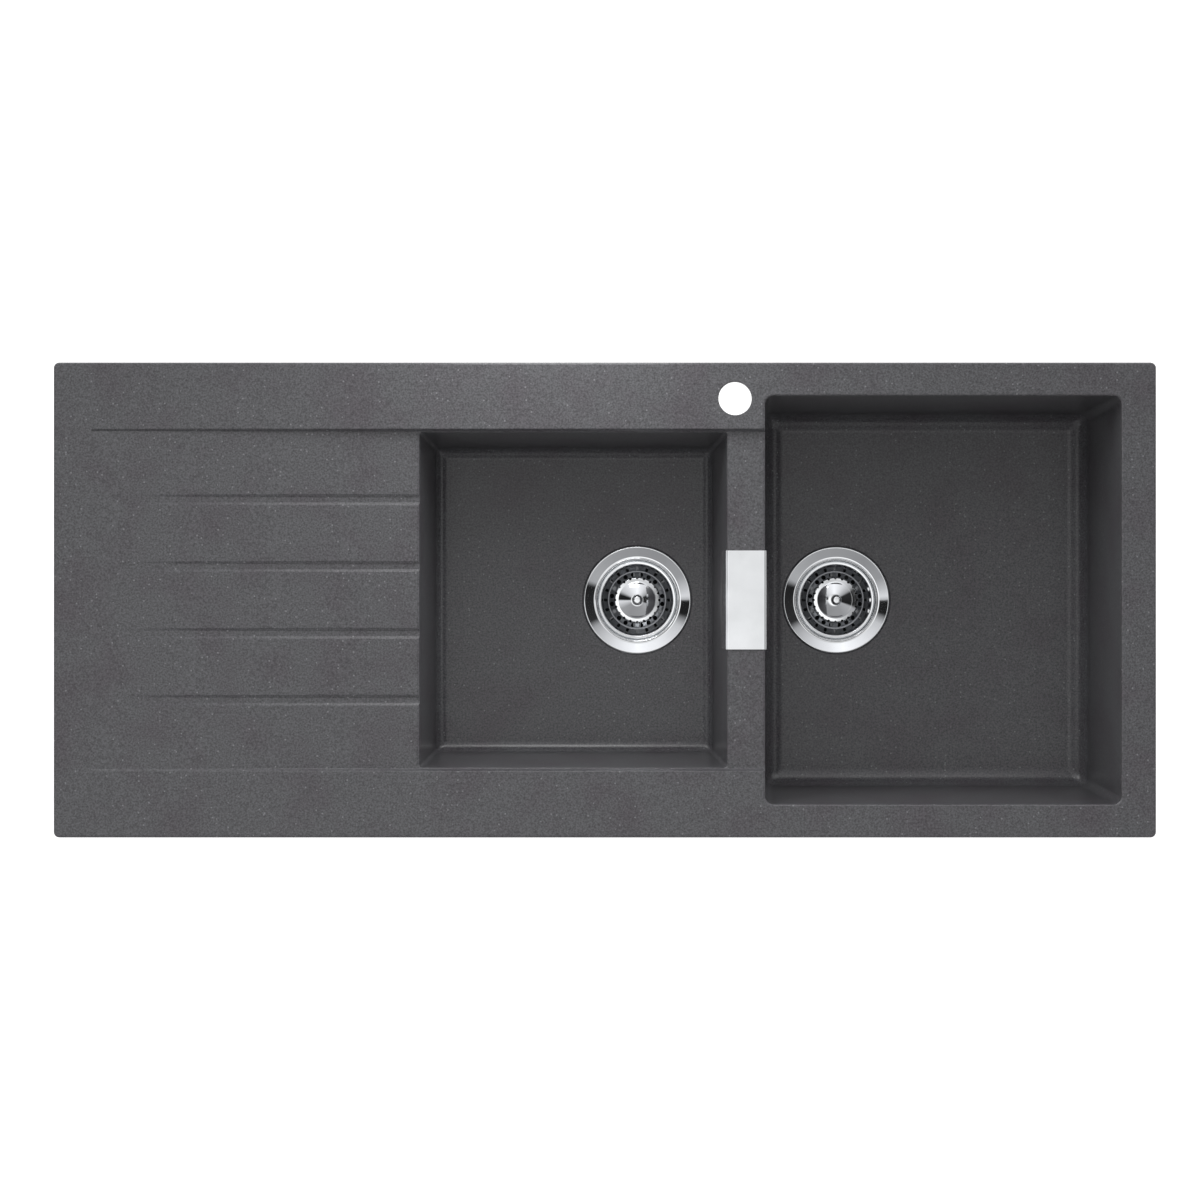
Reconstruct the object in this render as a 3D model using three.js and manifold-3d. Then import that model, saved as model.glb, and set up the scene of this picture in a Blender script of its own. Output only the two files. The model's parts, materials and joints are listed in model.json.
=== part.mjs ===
// Inset kitchen sink with a drainer and two bowls, cast in granite composite.
//
// Frame: millimetres, +X towards the large bowl, +Y towards the wall, +Z up.
// The origin is the centre of the worktop cut-out, on the worktop's top face.

import * as THREE from 'three';
import { mergeVertices } from 'three/addons/utils/BufferGeometryUtils.js';
import Module from 'manifold-3d';

const wasm = await Module();
wasm.setup();

// ---------------------------------------------------------------- driving dimensions

// Rim and casting
const SINK_LENGTH = 1160;
const SINK_WIDTH = 500;
const RIM_HEIGHT = 9; // the rim stands this far above the worktop
const RIM_CORNER_R = 6;
const RIM_EDGE_R = 2.5;
const RIM_OVERLAP = 10; // the rim covers the edge of the cut-out by this much
const CUTOUT_GAP = 2; // between the cut-out and the skirt that drops into it
const SKIRT_DROP = 14;
const SKIRT_WALL = 8;
const CASTING_WALL = 9;
const FLOOR_THICKNESS = 11;
const BOWL_EDGE_R = 2; // rounding where a bowl opens into the deck
const CORNER_AT_FLOOR = 0.3; // share of a bowl's corner radius that is left at its floor

// Large bowl, on the right
const MAIN_BOWL_MARGIN = 36.5; // from the sink's right end to the bowl
const MAIN_BOWL_LENGTH = 375;
const MAIN_BOWL_WIDTH = 430;
const MAIN_BOWL_DEPTH = 190; // below the rim's top face
const MAIN_BOWL_CORNER_R = 9;
const MAIN_BOWL_DRAFT = 10; // each wall leans in by this much from rim to floor
const MAIN_BOWL_FILLET_R = 20;
const MAIN_WASTE_OFFSET = 89; // from the divider's edge to the waste's centre

// Small bowl, in the middle
const DIVIDER_WIDTH = 39.6;
const SMALL_BOWL_LENGTH = 324.5;
const SMALL_BOWL_DEPTH = 155;
const SMALL_BOWL_CORNER_R = 4;
const SMALL_BOWL_DRAFT = 11;
const SMALL_BOWL_FILLET_R = 12;
const SMALL_WASTE_OFFSET = 93;

// Drainer: a shallow pan that falls towards the small bowl
const PAN_MARGIN = 40; // from the sink's left end to where the pan begins
const PAN_WIDTH = 361;
const PAN_DEPTH = 8; // where it meets the small bowl, and along the divider
const PAN_SIDE = 3.5; // plan width of the step down into the pan
const GROOVE_COUNT = 4;
const GROOVE_PITCH = 70.4;
const GROOVE_WIDTH = 9.8;
const GROOVE_SIDE = 2; // plan width of a groove's steep side; its floor is flat
const GROOVE_DEPTH = 2.4;
const GROOVE_LEAD = 34; // the grooves begin this far inside the pan
const GROOVE_FIRST_SHARE = 0.4; // of its depth, where a groove has faded in by as much again

// Tap hole
const TAP_HOLE_D = 35;
const TAP_HOLE_CHAMFER = 0.8;
const TAP_HOLE_INSET = 38; // from the rear edge to the hole's centre
const TAP_HOLE_FROM_BOWL = 31.5; // from the large bowl's left edge to the hole's centre
const TAP_RELIEF_D = 48; // room under the deck for the tap's washer and nut

// Sealing strip in the rim's underside
const SEAL_STRIP_WIDTH = 5;
const SEAL_STRIP_HEIGHT = 1.2;
const SEAL_STRIP_INSET = 2.5;

// Waste flange, pressed from stainless sheet; heights are below the bowl's floor
const FLANGE_D = 119;
const FLANGE_SHEET = 1.2;
const FLANGE_CREST = 0.5; // the rolled edge stands this far above the floor
const CONE_FOOT_D = 99.5;
const FLANGE_ROLL = 1; // radius of the rolled edge
const CONE_DROP = 3;
const STEP_FALL = 0.4; // the flat step inside the cone falls a little
const CUP_D = 87.4;
const CUP_MOUTH = 1.5; // rounding where the step turns down into the cup
const CUP_LEDGE_DROP = 11.4;
const CUP_LEDGE_WIDTH = 2.8;
const CUP_LEDGE_FALL = 1;
const CUP_DROP = 33;
const CUP_FOOT = 3;
const FLANGE_WINDOW_COUNT = 6;
const FLANGE_SPOKE = 8;
const FLANGE_HUB_D = 26;
const FLANGE_WINDOW_MARGIN = 1; // from a window to the bend at the cup's foot
const FLANGE_SEAL_WIDTH = 3;
const WASTE_HOLE_D = 91; // in the casting
const WASTE_BOSS_D = 132;
const WASTE_BOSS = 6;
const SEAT_DROP = 8;

// Strainer basket
const BASKET_D = 85.2;
const BASKET_SHEET = 1;
const BASKET_RIM = 3.2; // plan width of the flat rim
const BASKET_RIM_DROP = 4.6;
const BASKET_RIM_FALL = 0.2;
const BASKET_ROLL = 0.9; // radius of the rim's rolled edge
const BASKET_FLOOR_DROP = 21;
const TROUGH_D = 63.2; // the lowest ring, which the water reaches last
const TROUGH_WIDTH = 1.2;
const SLOT_BAND = 5.4; // plan width of the sloping band outside the trough
const SLOT_BAND_RISE = 5;
const HOLE_BAND = 5.6; // and of the band inside it
const HOLE_BAND_RISE = 6.4;
const DOME_D = 43; // the polished cap in the middle
const DOME_EDGE_DROP = 11.8;
const DOME_TOP_DROP = 7.2;
const PERFORATIONS = 20; // in each of the three rings
const NOTCH_D = 3;
const HOLE_D = 4.2;
const SLOT_WIDTH = 3;
const SLOT_LENGTH = 4.6;
const KNOB_D = 12;
const KNOB_HEIGHT = 6;
const KNOB_RISE = 5.5; // from the dome up to the knob
const KNOB_CROWN = 2.4; // height of the crown above the knob's straight side
const KNOB_FACE_D = 7.2;
const KNOB_EDGE = 1;
const STEM_D = 4.4;
const STEM_NECK = 0.4; // how much thicker the stem is above the dome
const STEM_COLLAR = 1.2; // plan width of its foot on the dome
const STEM_COLLAR_HEIGHT = 1.4;
const RETAINER_D = 10;
const RETAINER_HEIGHT = 3;
const RETAINER_SLACK = 0.4;
const STOPPER_WIDTH = 2;
const STOPPER_INSET = 0.2; // from the basket's edge

// Plastic waste body under the bowl
const GASKET_THICKNESS = 3;
const GASKET_D = 114;
const GASKET_CLEARANCE = 1; // round the hole in the casting
const BODY_FLANGE_THICKNESS = 4.5;
const BODY_WALL = 2.6;
const BODY_CUP_DROP = 49;
const BODY_FUNNEL = 8; // height of the funnel from the cup to the outlet
const BODY_CLEARANCE = 1.2; // round the steel cup
const OUTLET_D = 47.8;
const OUTLET_WALL = 3.6;
const OUTLET_DROP = 85;
const HUB_D = 13;
const HUB_HEIGHT = 8;
const HUB_WEBS = 3;
const HUB_ABOVE_WEBS = 1;
const WEB_THICKNESS = 4;
const CLAMP_SCREW_D = 5;
const CLAMP_HEAD_D = 12;
const CLAMP_HEAD_HEIGHT = 3;
const CLAMP_HEAD_FACE_D = 7.2;
const SCREW_TIP = 1; // what a clamp screw shows below the hub, and a clip screw's hole has above its tip
const HEAD_SIDE = 0.5; // share of a screw head's height that is straight

// Overflow in the divider
const OVERFLOW_SLOT_LENGTH = 64;
const OVERFLOW_SLOT_HEIGHT = 10;
const OVERFLOW_SLOT_DROP = 22; // from the divider's top to the slot's centre
const COVER_LENGTH = 104.4;
const COVER_SHEET = 1;
const COVER_LEG = 35;
const COVER_SPLAY = 1.6; // how much further the legs lean out than the walls
const COVER_BEND_R = 1.6;
const OVERFLOW_GASKET = 2;
const DUCT_END_MARGIN = 6; // past the slot's ends, on the duct and its gaskets
const DUCT_EDGE_MARGIN = 5; // above and below the slot
const DUCT_WALL = 2;
const PIPE_D = 18;
const PIPE_WALL = 1.8;
const PIPE_STRAIGHT = 14; // at each end of the pipe
const PIPE_FALL = 0.86; // shares of the way down and across that shape the pipe's bend
const PIPE_REACH = 0.1;
const SPIGOT_LENGTH = 10;
const PORT_DROP = 38.5;
const UNION_D = 24.4;
const UNION_LENGTH = 14;

// Fixing clips
const CLIPS_PER_LONG_SIDE = 3;
const CLIP_END_MARGIN = 130; // from the sink's ends to the outer clips
const CLIP_BOSS_D = 14;
const CLIP_SCREW_D = 4.4;
const CLIP_SCREW_BITE = 10;
const CLIP_HEAD_D = 9;
const CLIP_HEAD_HEIGHT = 3;
const CLIP_HEAD_FACE_D = 7.2;
const CLIP_STRIP_WIDTH = 12;
const CLIP_STRIP_THICKNESS = 2;
const CLIP_REACH = 28;
const CLIP_TIP = 5;
const WORKTOP_THICKNESS = 30;

// Clearances
const TOUCH_GAP = 0.3; // between pieces that bear on each other
const SLIDE_GAP = 0.6; // between pieces that move past each other

// Facets
const CORNER_STEPS = 4;
const FILLET_STEPS = 4;
const EDGE_STEPS = 2;
const SIDE_STEPS = 3;
const DOME_STEPS = 2;
const FLANGE_STEPS = 24;
const BASKET_STEPS = PERFORATIONS; // one facet to each perforation in a ring
const RING_STEPS = 20;
const KNOB_STEPS = 14;
const SCREW_STEPS = 8;
const PIPE_SIDES = 10;
const PIPE_STEPS = 12;

// ---------------------------------------------------------------- derived places

const HALF_LENGTH = SINK_LENGTH / 2;
const HALF_WIDTH = SINK_WIDTH / 2;
const SKIRT_INSET = RIM_OVERLAP + CUTOUT_GAP;
const MAIN_X1 = HALF_LENGTH - MAIN_BOWL_MARGIN;
const MAIN_X0 = MAIN_X1 - MAIN_BOWL_LENGTH;
const SMALL_X1 = MAIN_X0 - DIVIDER_WIDTH;
const SMALL_X0 = SMALL_X1 - SMALL_BOWL_LENGTH;
const PAN_X0 = -HALF_LENGTH + PAN_MARGIN;
const PAN_Z = RIM_HEIGHT - PAN_DEPTH;
const SMALL_BOWL_WIDTH = PAN_WIDTH - 2 * PAN_SIDE;
const INSIDE_PLATE = RIM_HEIGHT / 2; // a height inside the deck, where added solids end
const PAST = 2; // how far a cutter runs past the face it opens

const GRANITE = new THREE.MeshStandardMaterial({ color: 0x5a5a5c, roughness: 0.62, metalness: 0 });
const STEEL = new THREE.MeshStandardMaterial({ color: 0xc9cbce, roughness: 0.12, metalness: 1 });
const ZINC = new THREE.MeshStandardMaterial({ color: 0xa9acb0, roughness: 0.38, metalness: 1 });
const PLASTIC = new THREE.MeshStandardMaterial({ color: 0x2b2c2e, roughness: 0.5, metalness: 0 });
const RUBBER = new THREE.MeshStandardMaterial({ color: 0x1b1b1c, roughness: 0.8, metalness: 0 });
const FOAM = new THREE.MeshStandardMaterial({ color: 0x3a3a3b, roughness: 0.95, metalness: 0 });

// ---------------------------------------------------------------- geometry helpers

// A closed mesh becomes a solid: equal corners are joined and empty triangles dropped.
function solidOf(geometry) {
  const bare = new THREE.BufferGeometry();
  bare.setAttribute('position', geometry.getAttribute('position'));
  bare.setIndex(geometry.getIndex());
  const merged = mergeVertices(bare, 1e-4);
  const index = merged.getIndex().array;
  const triVerts = [];
  for (let i = 0; i < index.length; i += 3) {
    const [a, b, c] = [index[i], index[i + 1], index[i + 2]];
    if (a !== b && b !== c && c !== a) triVerts.push(a, b, c);
  }
  const mesh = new wasm.Mesh({
    numProp: 3,
    vertProperties: new Float32Array(merged.getAttribute('position').array),
    triVerts: new Uint32Array(triVerts),
  });
  return new wasm.Manifold(mesh);
}

function geometryOf(solid) {
  const mesh = solid.getMesh();
  const geometry = new THREE.BufferGeometry();
  geometry.setAttribute('position', new THREE.BufferAttribute(new Float32Array(mesh.vertProperties), 3));
  geometry.setIndex(new THREE.BufferAttribute(new Uint32Array(mesh.triVerts), 1));
  geometry.computeVertexNormals();
  return geometry;
}

// Skin over closed outlines with the same number of points, with a fan on each end.
function loft(rings) {
  const count = rings[0].length;
  const points = rings.flat();
  const faces = [];
  for (let k = 0; k + 1 < rings.length; k += 1) {
    for (let i = 0; i < count; i += 1) {
      const j = (i + 1) % count;
      const [a, b] = [k * count + i, k * count + j];
      faces.push(a, b, b + count, a, b + count, a + count);
    }
  }
  const addEnd = (first, flip) => {
    const centre = new THREE.Vector3();
    for (let i = 0; i < count; i += 1) centre.addScaledVector(points[first + i], 1 / count);
    points.push(centre);
    for (let i = 0; i < count; i += 1) {
      const j = (i + 1) % count;
      if (flip) faces.push(first + j, first + i, points.length - 1);
      else faces.push(first + i, first + j, points.length - 1);
    }
  };
  const last = (rings.length - 1) * count;
  addEnd(0, true);
  addEnd(last, false);
  let volume = 0;
  for (let i = 0; i < faces.length; i += 3) {
    const [a, b, c] = [points[faces[i]], points[faces[i + 1]], points[faces[i + 2]]];
    volume += a.dot(new THREE.Vector3().crossVectors(b, c));
  }
  if (volume < 0) faces.reverse();
  const geometry = new THREE.BufferGeometry();
  geometry.setAttribute('position', new THREE.Float32BufferAttribute(points.flatMap((p) => p.toArray()), 3));
  geometry.setIndex(faces);
  return solidOf(geometry);
}

// A level outline with rounded corners, grown or drawn in by dx and dy on each side.
function roundedRing(box, dx, dy, radius, z) {
  const [x0, y0, x1, y1] = [box.x0 - dx, box.y0 - dy, box.x1 + dx, box.y1 + dy];
  const r = Math.max(radius, 0.5);
  const corners = [
    [x1 - r, y1 - r, 0],
    [x0 + r, y1 - r, 1],
    [x0 + r, y0 + r, 2],
    [x1 - r, y0 + r, 3],
  ];
  const ring = [];
  for (const [cx, cy, quarter] of corners) {
    for (let i = 0; i <= CORNER_STEPS; i += 1) {
      const angle = (quarter + i / CORNER_STEPS) * Math.PI / 2;
      ring.push(new THREE.Vector3(cx + r * Math.cos(angle), cy + r * Math.sin(angle), z));
    }
  }
  return ring;
}

// A solid of revolution about +Z; the profile lists radius and height.
function turned(profile, steps) {
  const points = profile.map(([r, z]) => new THREE.Vector2(Math.max(r, 0), z));
  if (profile[0][0] > 0) points.push(points[0].clone());
  return solidOf(new THREE.LatheGeometry(points, steps).rotateX(Math.PI / 2));
}

function rod(diameter, z0, z1, steps) {
  return turned([[0, z0], [diameter / 2, z0], [diameter / 2, z1], [0, z1]], steps);
}

function ringBar(innerD, outerD, z0, z1, steps) {
  const [a, b] = [innerD / 2, outerD / 2];
  return turned([[a, z0], [b, z0], [b, z1], [a, z1]], steps);
}

// The closed section of a pressed sheet whose upper face follows the given line.
// The line runs from the outer edge inwards, and the sheet lies below it.
function sheetSection(line, thickness) {
  const under = line.map(([r, z], i) => {
    const before = line[Math.max(i - 1, 0)];
    const after = line[Math.min(i + 1, line.length - 1)];
    const normals = [];
    if (i > 0) normals.push(sideOf(before, [r, z]));
    if (i < line.length - 1) normals.push(sideOf([r, z], after));
    const sum = normals.reduce((s, n) => s.clone().add(n)).normalize();
    const reach = thickness / sum.dot(normals[0]);
    return [r + sum.x * reach, z + sum.y * reach];
  });
  return [...under.reverse(), ...line];
}

function sideOf(from, to) {
  const along = new THREE.Vector2(to[0] - from[0], to[1] - from[1]).normalize();
  return new THREE.Vector2(-along.y, along.x);
}

// A flat outline in the XZ plane, pushed out along Y and centred on y.
function slab(outline, width, y = 0) {
  const shape = new THREE.Shape(outline.map(([x, z]) => new THREE.Vector2(x, z)));
  const geometry = new THREE.ExtrudeGeometry(shape, { depth: width, bevelEnabled: false });
  return solidOf(geometry.rotateX(Math.PI / 2).translate(0, y + width / 2, 0));
}

function block(x0, y0, z0, x1, y1, z1) {
  const geometry = new THREE.BoxGeometry(x1 - x0, y1 - y0, z1 - z0);
  return solidOf(geometry.translate((x0 + x1) / 2, (y0 + y1) / 2, (z0 + z1) / 2));
}

const union = (solids) => solids.reduce((a, b) => a.add(b));
const cut = (solid, cutters) => cutters.reduce((a, b) => a.subtract(b), solid);
const lerp = (a, b, t) => a + (b - a) * t;
const ease = (t) => t * t * (3 - 2 * t); // from 0 to 1 with level ends

const sink = new THREE.Group();

function addPiece(name, solid, material, x = 0, y = 0, z = 0, turn = 0) {
  const mesh = new THREE.Mesh(geometryOf(solid), material);
  mesh.name = name;
  mesh.position.set(x, y, z);
  mesh.rotation.z = turn;
  sink.add(mesh);
}

// ---------------------------------------------------------------- bowls

const mainBowl = {
  box: { x0: MAIN_X0, y0: -MAIN_BOWL_WIDTH / 2, x1: MAIN_X1, y1: MAIN_BOWL_WIDTH / 2 },
  top: RIM_HEIGHT,
  floor: RIM_HEIGHT - MAIN_BOWL_DEPTH,
  corner: MAIN_BOWL_CORNER_R,
  draft: MAIN_BOWL_DRAFT,
  fillet: MAIN_BOWL_FILLET_R,
  edgeY: BOWL_EDGE_R,
  wasteX: MAIN_X0 + MAIN_WASTE_OFFSET,
};

const smallBowl = {
  box: { x0: SMALL_X0, y0: -SMALL_BOWL_WIDTH / 2, x1: SMALL_X1, y1: SMALL_BOWL_WIDTH / 2 },
  top: PAN_Z,
  floor: RIM_HEIGHT - SMALL_BOWL_DEPTH,
  corner: SMALL_BOWL_CORNER_R,
  draft: SMALL_BOWL_DRAFT,
  fillet: SMALL_BOWL_FILLET_R,
  edgeY: 0, // the front and rear walls run up into the pan's own sides
  wasteX: SMALL_X1 - SMALL_WASTE_OFFSET,
};

// How far a bowl's wall has leaned in at height z.
const leanAt = (bowl, z) => bowl.draft * (bowl.top - z) / (bowl.top - bowl.floor);

function bowlCavity(bowl) {
  const rings = [];
  for (let i = 0; i <= FILLET_STEPS; i += 1) {
    const angle = (i / FILLET_STEPS) * Math.PI / 2;
    const z = bowl.floor + bowl.fillet * (1 - Math.cos(angle));
    const inset = leanAt(bowl, z) + bowl.fillet * (1 - Math.sin(angle));
    const radius = bowl.corner * lerp(CORNER_AT_FLOOR, 1, Math.sin(angle));
    rings.push(roundedRing(bowl.box, -inset, -inset, radius, z));
  }
  for (let i = 0; i <= EDGE_STEPS; i += 1) {
    const angle = (i / EDGE_STEPS) * Math.PI / 2;
    const z = bowl.top - BOWL_EDGE_R * (1 - Math.sin(angle));
    const flare = 1 - Math.cos(angle);
    const lean = leanAt(bowl, z);
    const [dx, dy] = [BOWL_EDGE_R * flare - lean, bowl.edgeY * flare - lean];
    rings.push(roundedRing(bowl.box, dx, dy, bowl.corner + bowl.edgeY * flare, z));
  }
  const dx = BOWL_EDGE_R;
  rings.push(roundedRing(bowl.box, dx, bowl.edgeY, bowl.corner + bowl.edgeY, bowl.top + PAST / 2));
  return loft(rings);
}

function bowlShell(bowl) {
  const bottom = bowl.floor - FLOOR_THICKNESS;
  const radius = bowl.fillet + CASTING_WALL;
  const rings = [];
  for (let i = 0; i <= FILLET_STEPS; i += 1) {
    const angle = (i / FILLET_STEPS) * Math.PI / 2;
    const z = bottom + radius * (1 - Math.cos(angle));
    const grow = CASTING_WALL - leanAt(bowl, z) - radius * (1 - Math.sin(angle));
    rings.push(roundedRing(bowl.box, grow, grow, bowl.corner + CASTING_WALL, z));
  }
  const grow = CASTING_WALL - leanAt(bowl, INSIDE_PLATE);
  rings.push(roundedRing(bowl.box, grow, grow, bowl.corner + CASTING_WALL, INSIDE_PLATE));
  return loft(rings);
}

// ---------------------------------------------------------------- sink body

// One cross-section of the pan at x: soft sides, and a floor with flat-bottomed grooves.
function panSection(x, depth, grooveDepth) {
  const half = PAN_WIDTH / 2;
  const floor = RIM_HEIGHT - depth;
  const side = [[half, RIM_HEIGHT + PAST / 2]];
  for (let i = 0; i <= SIDE_STEPS; i += 1) {
    const t = i / SIDE_STEPS;
    side.push([half - PAN_SIDE * t, RIM_HEIGHT - depth * ease(t)]);
  }
  const otherSide = side.map(([y, z]) => [-y, z]).reverse();
  const grooves = [];
  const lip = GROOVE_WIDTH / 2;
  const foot = lip - GROOVE_SIDE;
  for (let i = 0; i < GROOVE_COUNT; i += 1) {
    const y = ((GROOVE_COUNT - 1) / 2 - i) * GROOVE_PITCH;
    grooves.push([y + lip, floor], [y + foot, floor - grooveDepth]);
    grooves.push([y - foot, floor - grooveDepth], [y - lip, floor]);
  }
  const outline = [...side, ...grooves, ...otherSide];
  return outline.map(([y, z]) => new THREE.Vector3(x, y, z));
}

function panCavity() {
  const grooveX = PAN_X0 + GROOVE_LEAD;
  const edge = SMALL_X0 + BOWL_EDGE_R * 2;
  const depthAt = (x) => PAN_DEPTH * (x - PAN_X0) / (edge - PAN_X0);
  return loft([
    panSection(PAN_X0, 0, 0),
    panSection(grooveX, depthAt(grooveX), 0),
    panSection(grooveX + GROOVE_LEAD, depthAt(grooveX + GROOVE_LEAD), GROOVE_DEPTH * GROOVE_FIRST_SHARE),
    panSection(edge, PAN_DEPTH, GROOVE_DEPTH),
    panSection(edge + GROOVE_WIDTH, PAN_DEPTH, 0),
    panSection(MAIN_X0 + CASTING_WALL, PAN_DEPTH, 0),
  ]);
}

// The casting under the pan keeps its thickness, so its underside falls with the pan.
function panUnderside() {
  const low = PAN_Z - CASTING_WALL;
  const end = MAIN_X0 - CASTING_WALL / 2;
  const outline = [
    [PAN_X0 - CASTING_WALL, INSIDE_PLATE],
    [PAN_X0, RIM_HEIGHT - CASTING_WALL],
    [SMALL_X0, low],
    [end, low],
    [end, INSIDE_PLATE],
  ];
  return slab(outline, PAN_WIDTH + CASTING_WALL);
}

function rimPlate() {
  const box = { x0: -HALF_LENGTH, y0: -HALF_WIDTH, x1: HALF_LENGTH, y1: HALF_WIDTH };
  const rings = [roundedRing(box, 0, 0, RIM_CORNER_R, 0)];
  for (let i = 0; i <= EDGE_STEPS; i += 1) {
    const angle = (i / EDGE_STEPS) * Math.PI / 2;
    const inset = RIM_EDGE_R * (1 - Math.cos(angle));
    const z = RIM_HEIGHT - RIM_EDGE_R * (1 - Math.sin(angle));
    rings.push(roundedRing(box, -inset, -inset, RIM_CORNER_R - inset, z));
  }
  return loft(rings);
}

// A closed frame that follows the rim at a given inset.
function rimFrame(inset, width, z0, z1) {
  const box = { x0: -HALF_LENGTH, y0: -HALF_WIDTH, x1: HALF_LENGTH, y1: HALF_WIDTH };
  const outer = [z0, z1].map((z) => roundedRing(box, -inset, -inset, RIM_CORNER_R, z));
  const deep = inset + width;
  const inner = [z0 - PAST, z1 + PAST].map((z) => roundedRing(box, -deep, -deep, RIM_CORNER_R, z));
  return loft(outer).subtract(loft(inner));
}

// The rounded shoulder along the divider's right edge, where the pan meets the large bowl.
function dividerShoulder() {
  const wall = MAIN_X0 + leanAt(mainBowl, PAN_Z);
  const r = BOWL_EDGE_R;
  const outline = [[wall - r, PAN_Z + PAST], [wall + PAST, PAN_Z + PAST], [wall + PAST, PAN_Z - r]];
  for (let i = 0; i <= EDGE_STEPS; i += 1) {
    const angle = (i / EDGE_STEPS) * Math.PI / 2;
    outline.push([wall - r + r * Math.cos(angle), PAN_Z - r + r * Math.sin(angle)]);
  }
  return slab(outline.reverse(), SMALL_BOWL_WIDTH);
}

function wasteRecess(bowl) {
  const seat = bowl.floor - SEAT_DROP;
  const lipR = FLANGE_D / 2 + SLIDE_GAP;
  const holeR = WASTE_HOLE_D / 2;
  const below = bowl.floor - FLOOR_THICKNESS - WASTE_BOSS - PAST;
  const profile = [
    [0, below],
    [holeR, below],
    [holeR, seat],
    [CONE_FOOT_D / 2, seat],
    [lipR, bowl.floor - FLANGE_ROLL - FLANGE_SHEET - SLIDE_GAP],
    [lipR, bowl.floor + PAST],
    [0, bowl.floor + PAST],
  ];
  return turned(profile, FLANGE_STEPS).translate(bowl.wasteX, 0, 0);
}

function tapHole() {
  const r = TAP_HOLE_D / 2;
  const c = TAP_HOLE_CHAMFER;
  const profile = [
    [0, -PAST],
    [r, -PAST],
    [r, RIM_HEIGHT - c],
    [r + c, RIM_HEIGHT],
    [r + c, RIM_HEIGHT + PAST],
    [0, RIM_HEIGHT + PAST],
  ];
  const hole = turned(profile, FLANGE_STEPS);
  const relief = rod(TAP_RELIEF_D, -SKIRT_DROP - PAST, 0, FLANGE_STEPS);
  return hole.add(relief).translate(MAIN_X0 - TAP_HOLE_FROM_BOWL, HALF_WIDTH - TAP_HOLE_INSET, 0);
}

const OVERFLOW_Z = PAN_Z - OVERFLOW_SLOT_DROP;

function overflowSlot() {
  const [h, l] = [OVERFLOW_SLOT_HEIGHT / 2, OVERFLOW_SLOT_LENGTH / 2];
  const reach = MAIN_BOWL_DRAFT + SMALL_BOWL_DRAFT;
  return block(SMALL_X1 - reach, -l, OVERFLOW_Z - h, MAIN_X0 + reach, l, OVERFLOW_Z + h);
}

// Clip places: a point under the rim and the direction that faces the worktop.
function clipPlaces() {
  const places = [];
  const axisInset = SKIRT_INSET + CLIP_BOSS_D / 2;
  const [endX, sideY] = [HALF_LENGTH - axisInset, HALF_WIDTH - axisInset];
  const span = SINK_LENGTH - 2 * CLIP_END_MARGIN;
  for (let i = 0; i < CLIPS_PER_LONG_SIDE; i += 1) {
    const x = CLIPS_PER_LONG_SIDE > 1 ? span * (i / (CLIPS_PER_LONG_SIDE - 1) - 0.5) : 0;
    places.push({ name: `front_${i + 1}`, x, y: -sideY, outward: -Math.PI / 2 });
    places.push({ name: `rear_${i + 1}`, x, y: sideY, outward: Math.PI / 2 });
  }
  places.push({ name: 'left_end', x: -endX, y: 0, outward: Math.PI });
  places.push({ name: 'right_end', x: endX, y: 0, outward: 0 });
  return places;
}

function sinkBody() {
  const bowls = [mainBowl, smallBowl];
  const bosses = bowls.map((bowl) => {
    const low = bowl.floor - FLOOR_THICKNESS - WASTE_BOSS;
    const top = bowl.floor - FLOOR_THICKNESS / 2;
    return rod(WASTE_BOSS_D, low, top, FLANGE_STEPS).translate(bowl.wasteX, 0, 0);
  });
  const clips = clipPlaces();
  const clipBosses = clips.map(({ x, y }) => {
    return rod(CLIP_BOSS_D, -SKIRT_DROP, INSIDE_PLATE, SCREW_STEPS).translate(x, y, 0);
  });
  const clipHoles = clips.map(({ x, y }) => {
    const top = CLIP_SCREW_BITE + SCREW_TIP - SKIRT_DROP;
    return rod(CLIP_SCREW_D + 2 * TOUCH_GAP, -SKIRT_DROP - PAST, top, SCREW_STEPS).translate(x, y, 0);
  });
  const casting = union([
    rimPlate(),
    rimFrame(SKIRT_INSET, SKIRT_WALL, -SKIRT_DROP, INSIDE_PLATE),
    panUnderside(),
    ...bowls.map(bowlShell),
    ...bosses,
    ...clipBosses,
  ]);
  const grooveInset = SEAL_STRIP_INSET - TOUCH_GAP;
  const stripGroove = rimFrame(
    grooveInset, SEAL_STRIP_WIDTH + 2 * TOUCH_GAP, -PAST, SEAL_STRIP_HEIGHT + TOUCH_GAP);
  return cut(casting, [
    panCavity(),
    ...bowls.map(bowlCavity),
    dividerShoulder(),
    ...bowls.map(wasteRecess),
    tapHole(),
    overflowSlot(),
    stripGroove,
    ...clipHoles,
  ]);
}

addPiece('sink_body', sinkBody(), GRANITE);
addPiece('rim_seal', rimFrame(SEAL_STRIP_INSET, SEAL_STRIP_WIDTH, 0, SEAL_STRIP_HEIGHT), FOAM);

// ---------------------------------------------------------------- wastes and baskets

// The pieces of a waste are made round its own axis, with height zero at the bowl's floor.

const CUP_R = CUP_D / 2;
const LOWER_CUP_R = CUP_R - CUP_LEDGE_WIDTH;
const SCREW_HOLE_D = CLAMP_SCREW_D + 2 * SLIDE_GAP;

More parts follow.
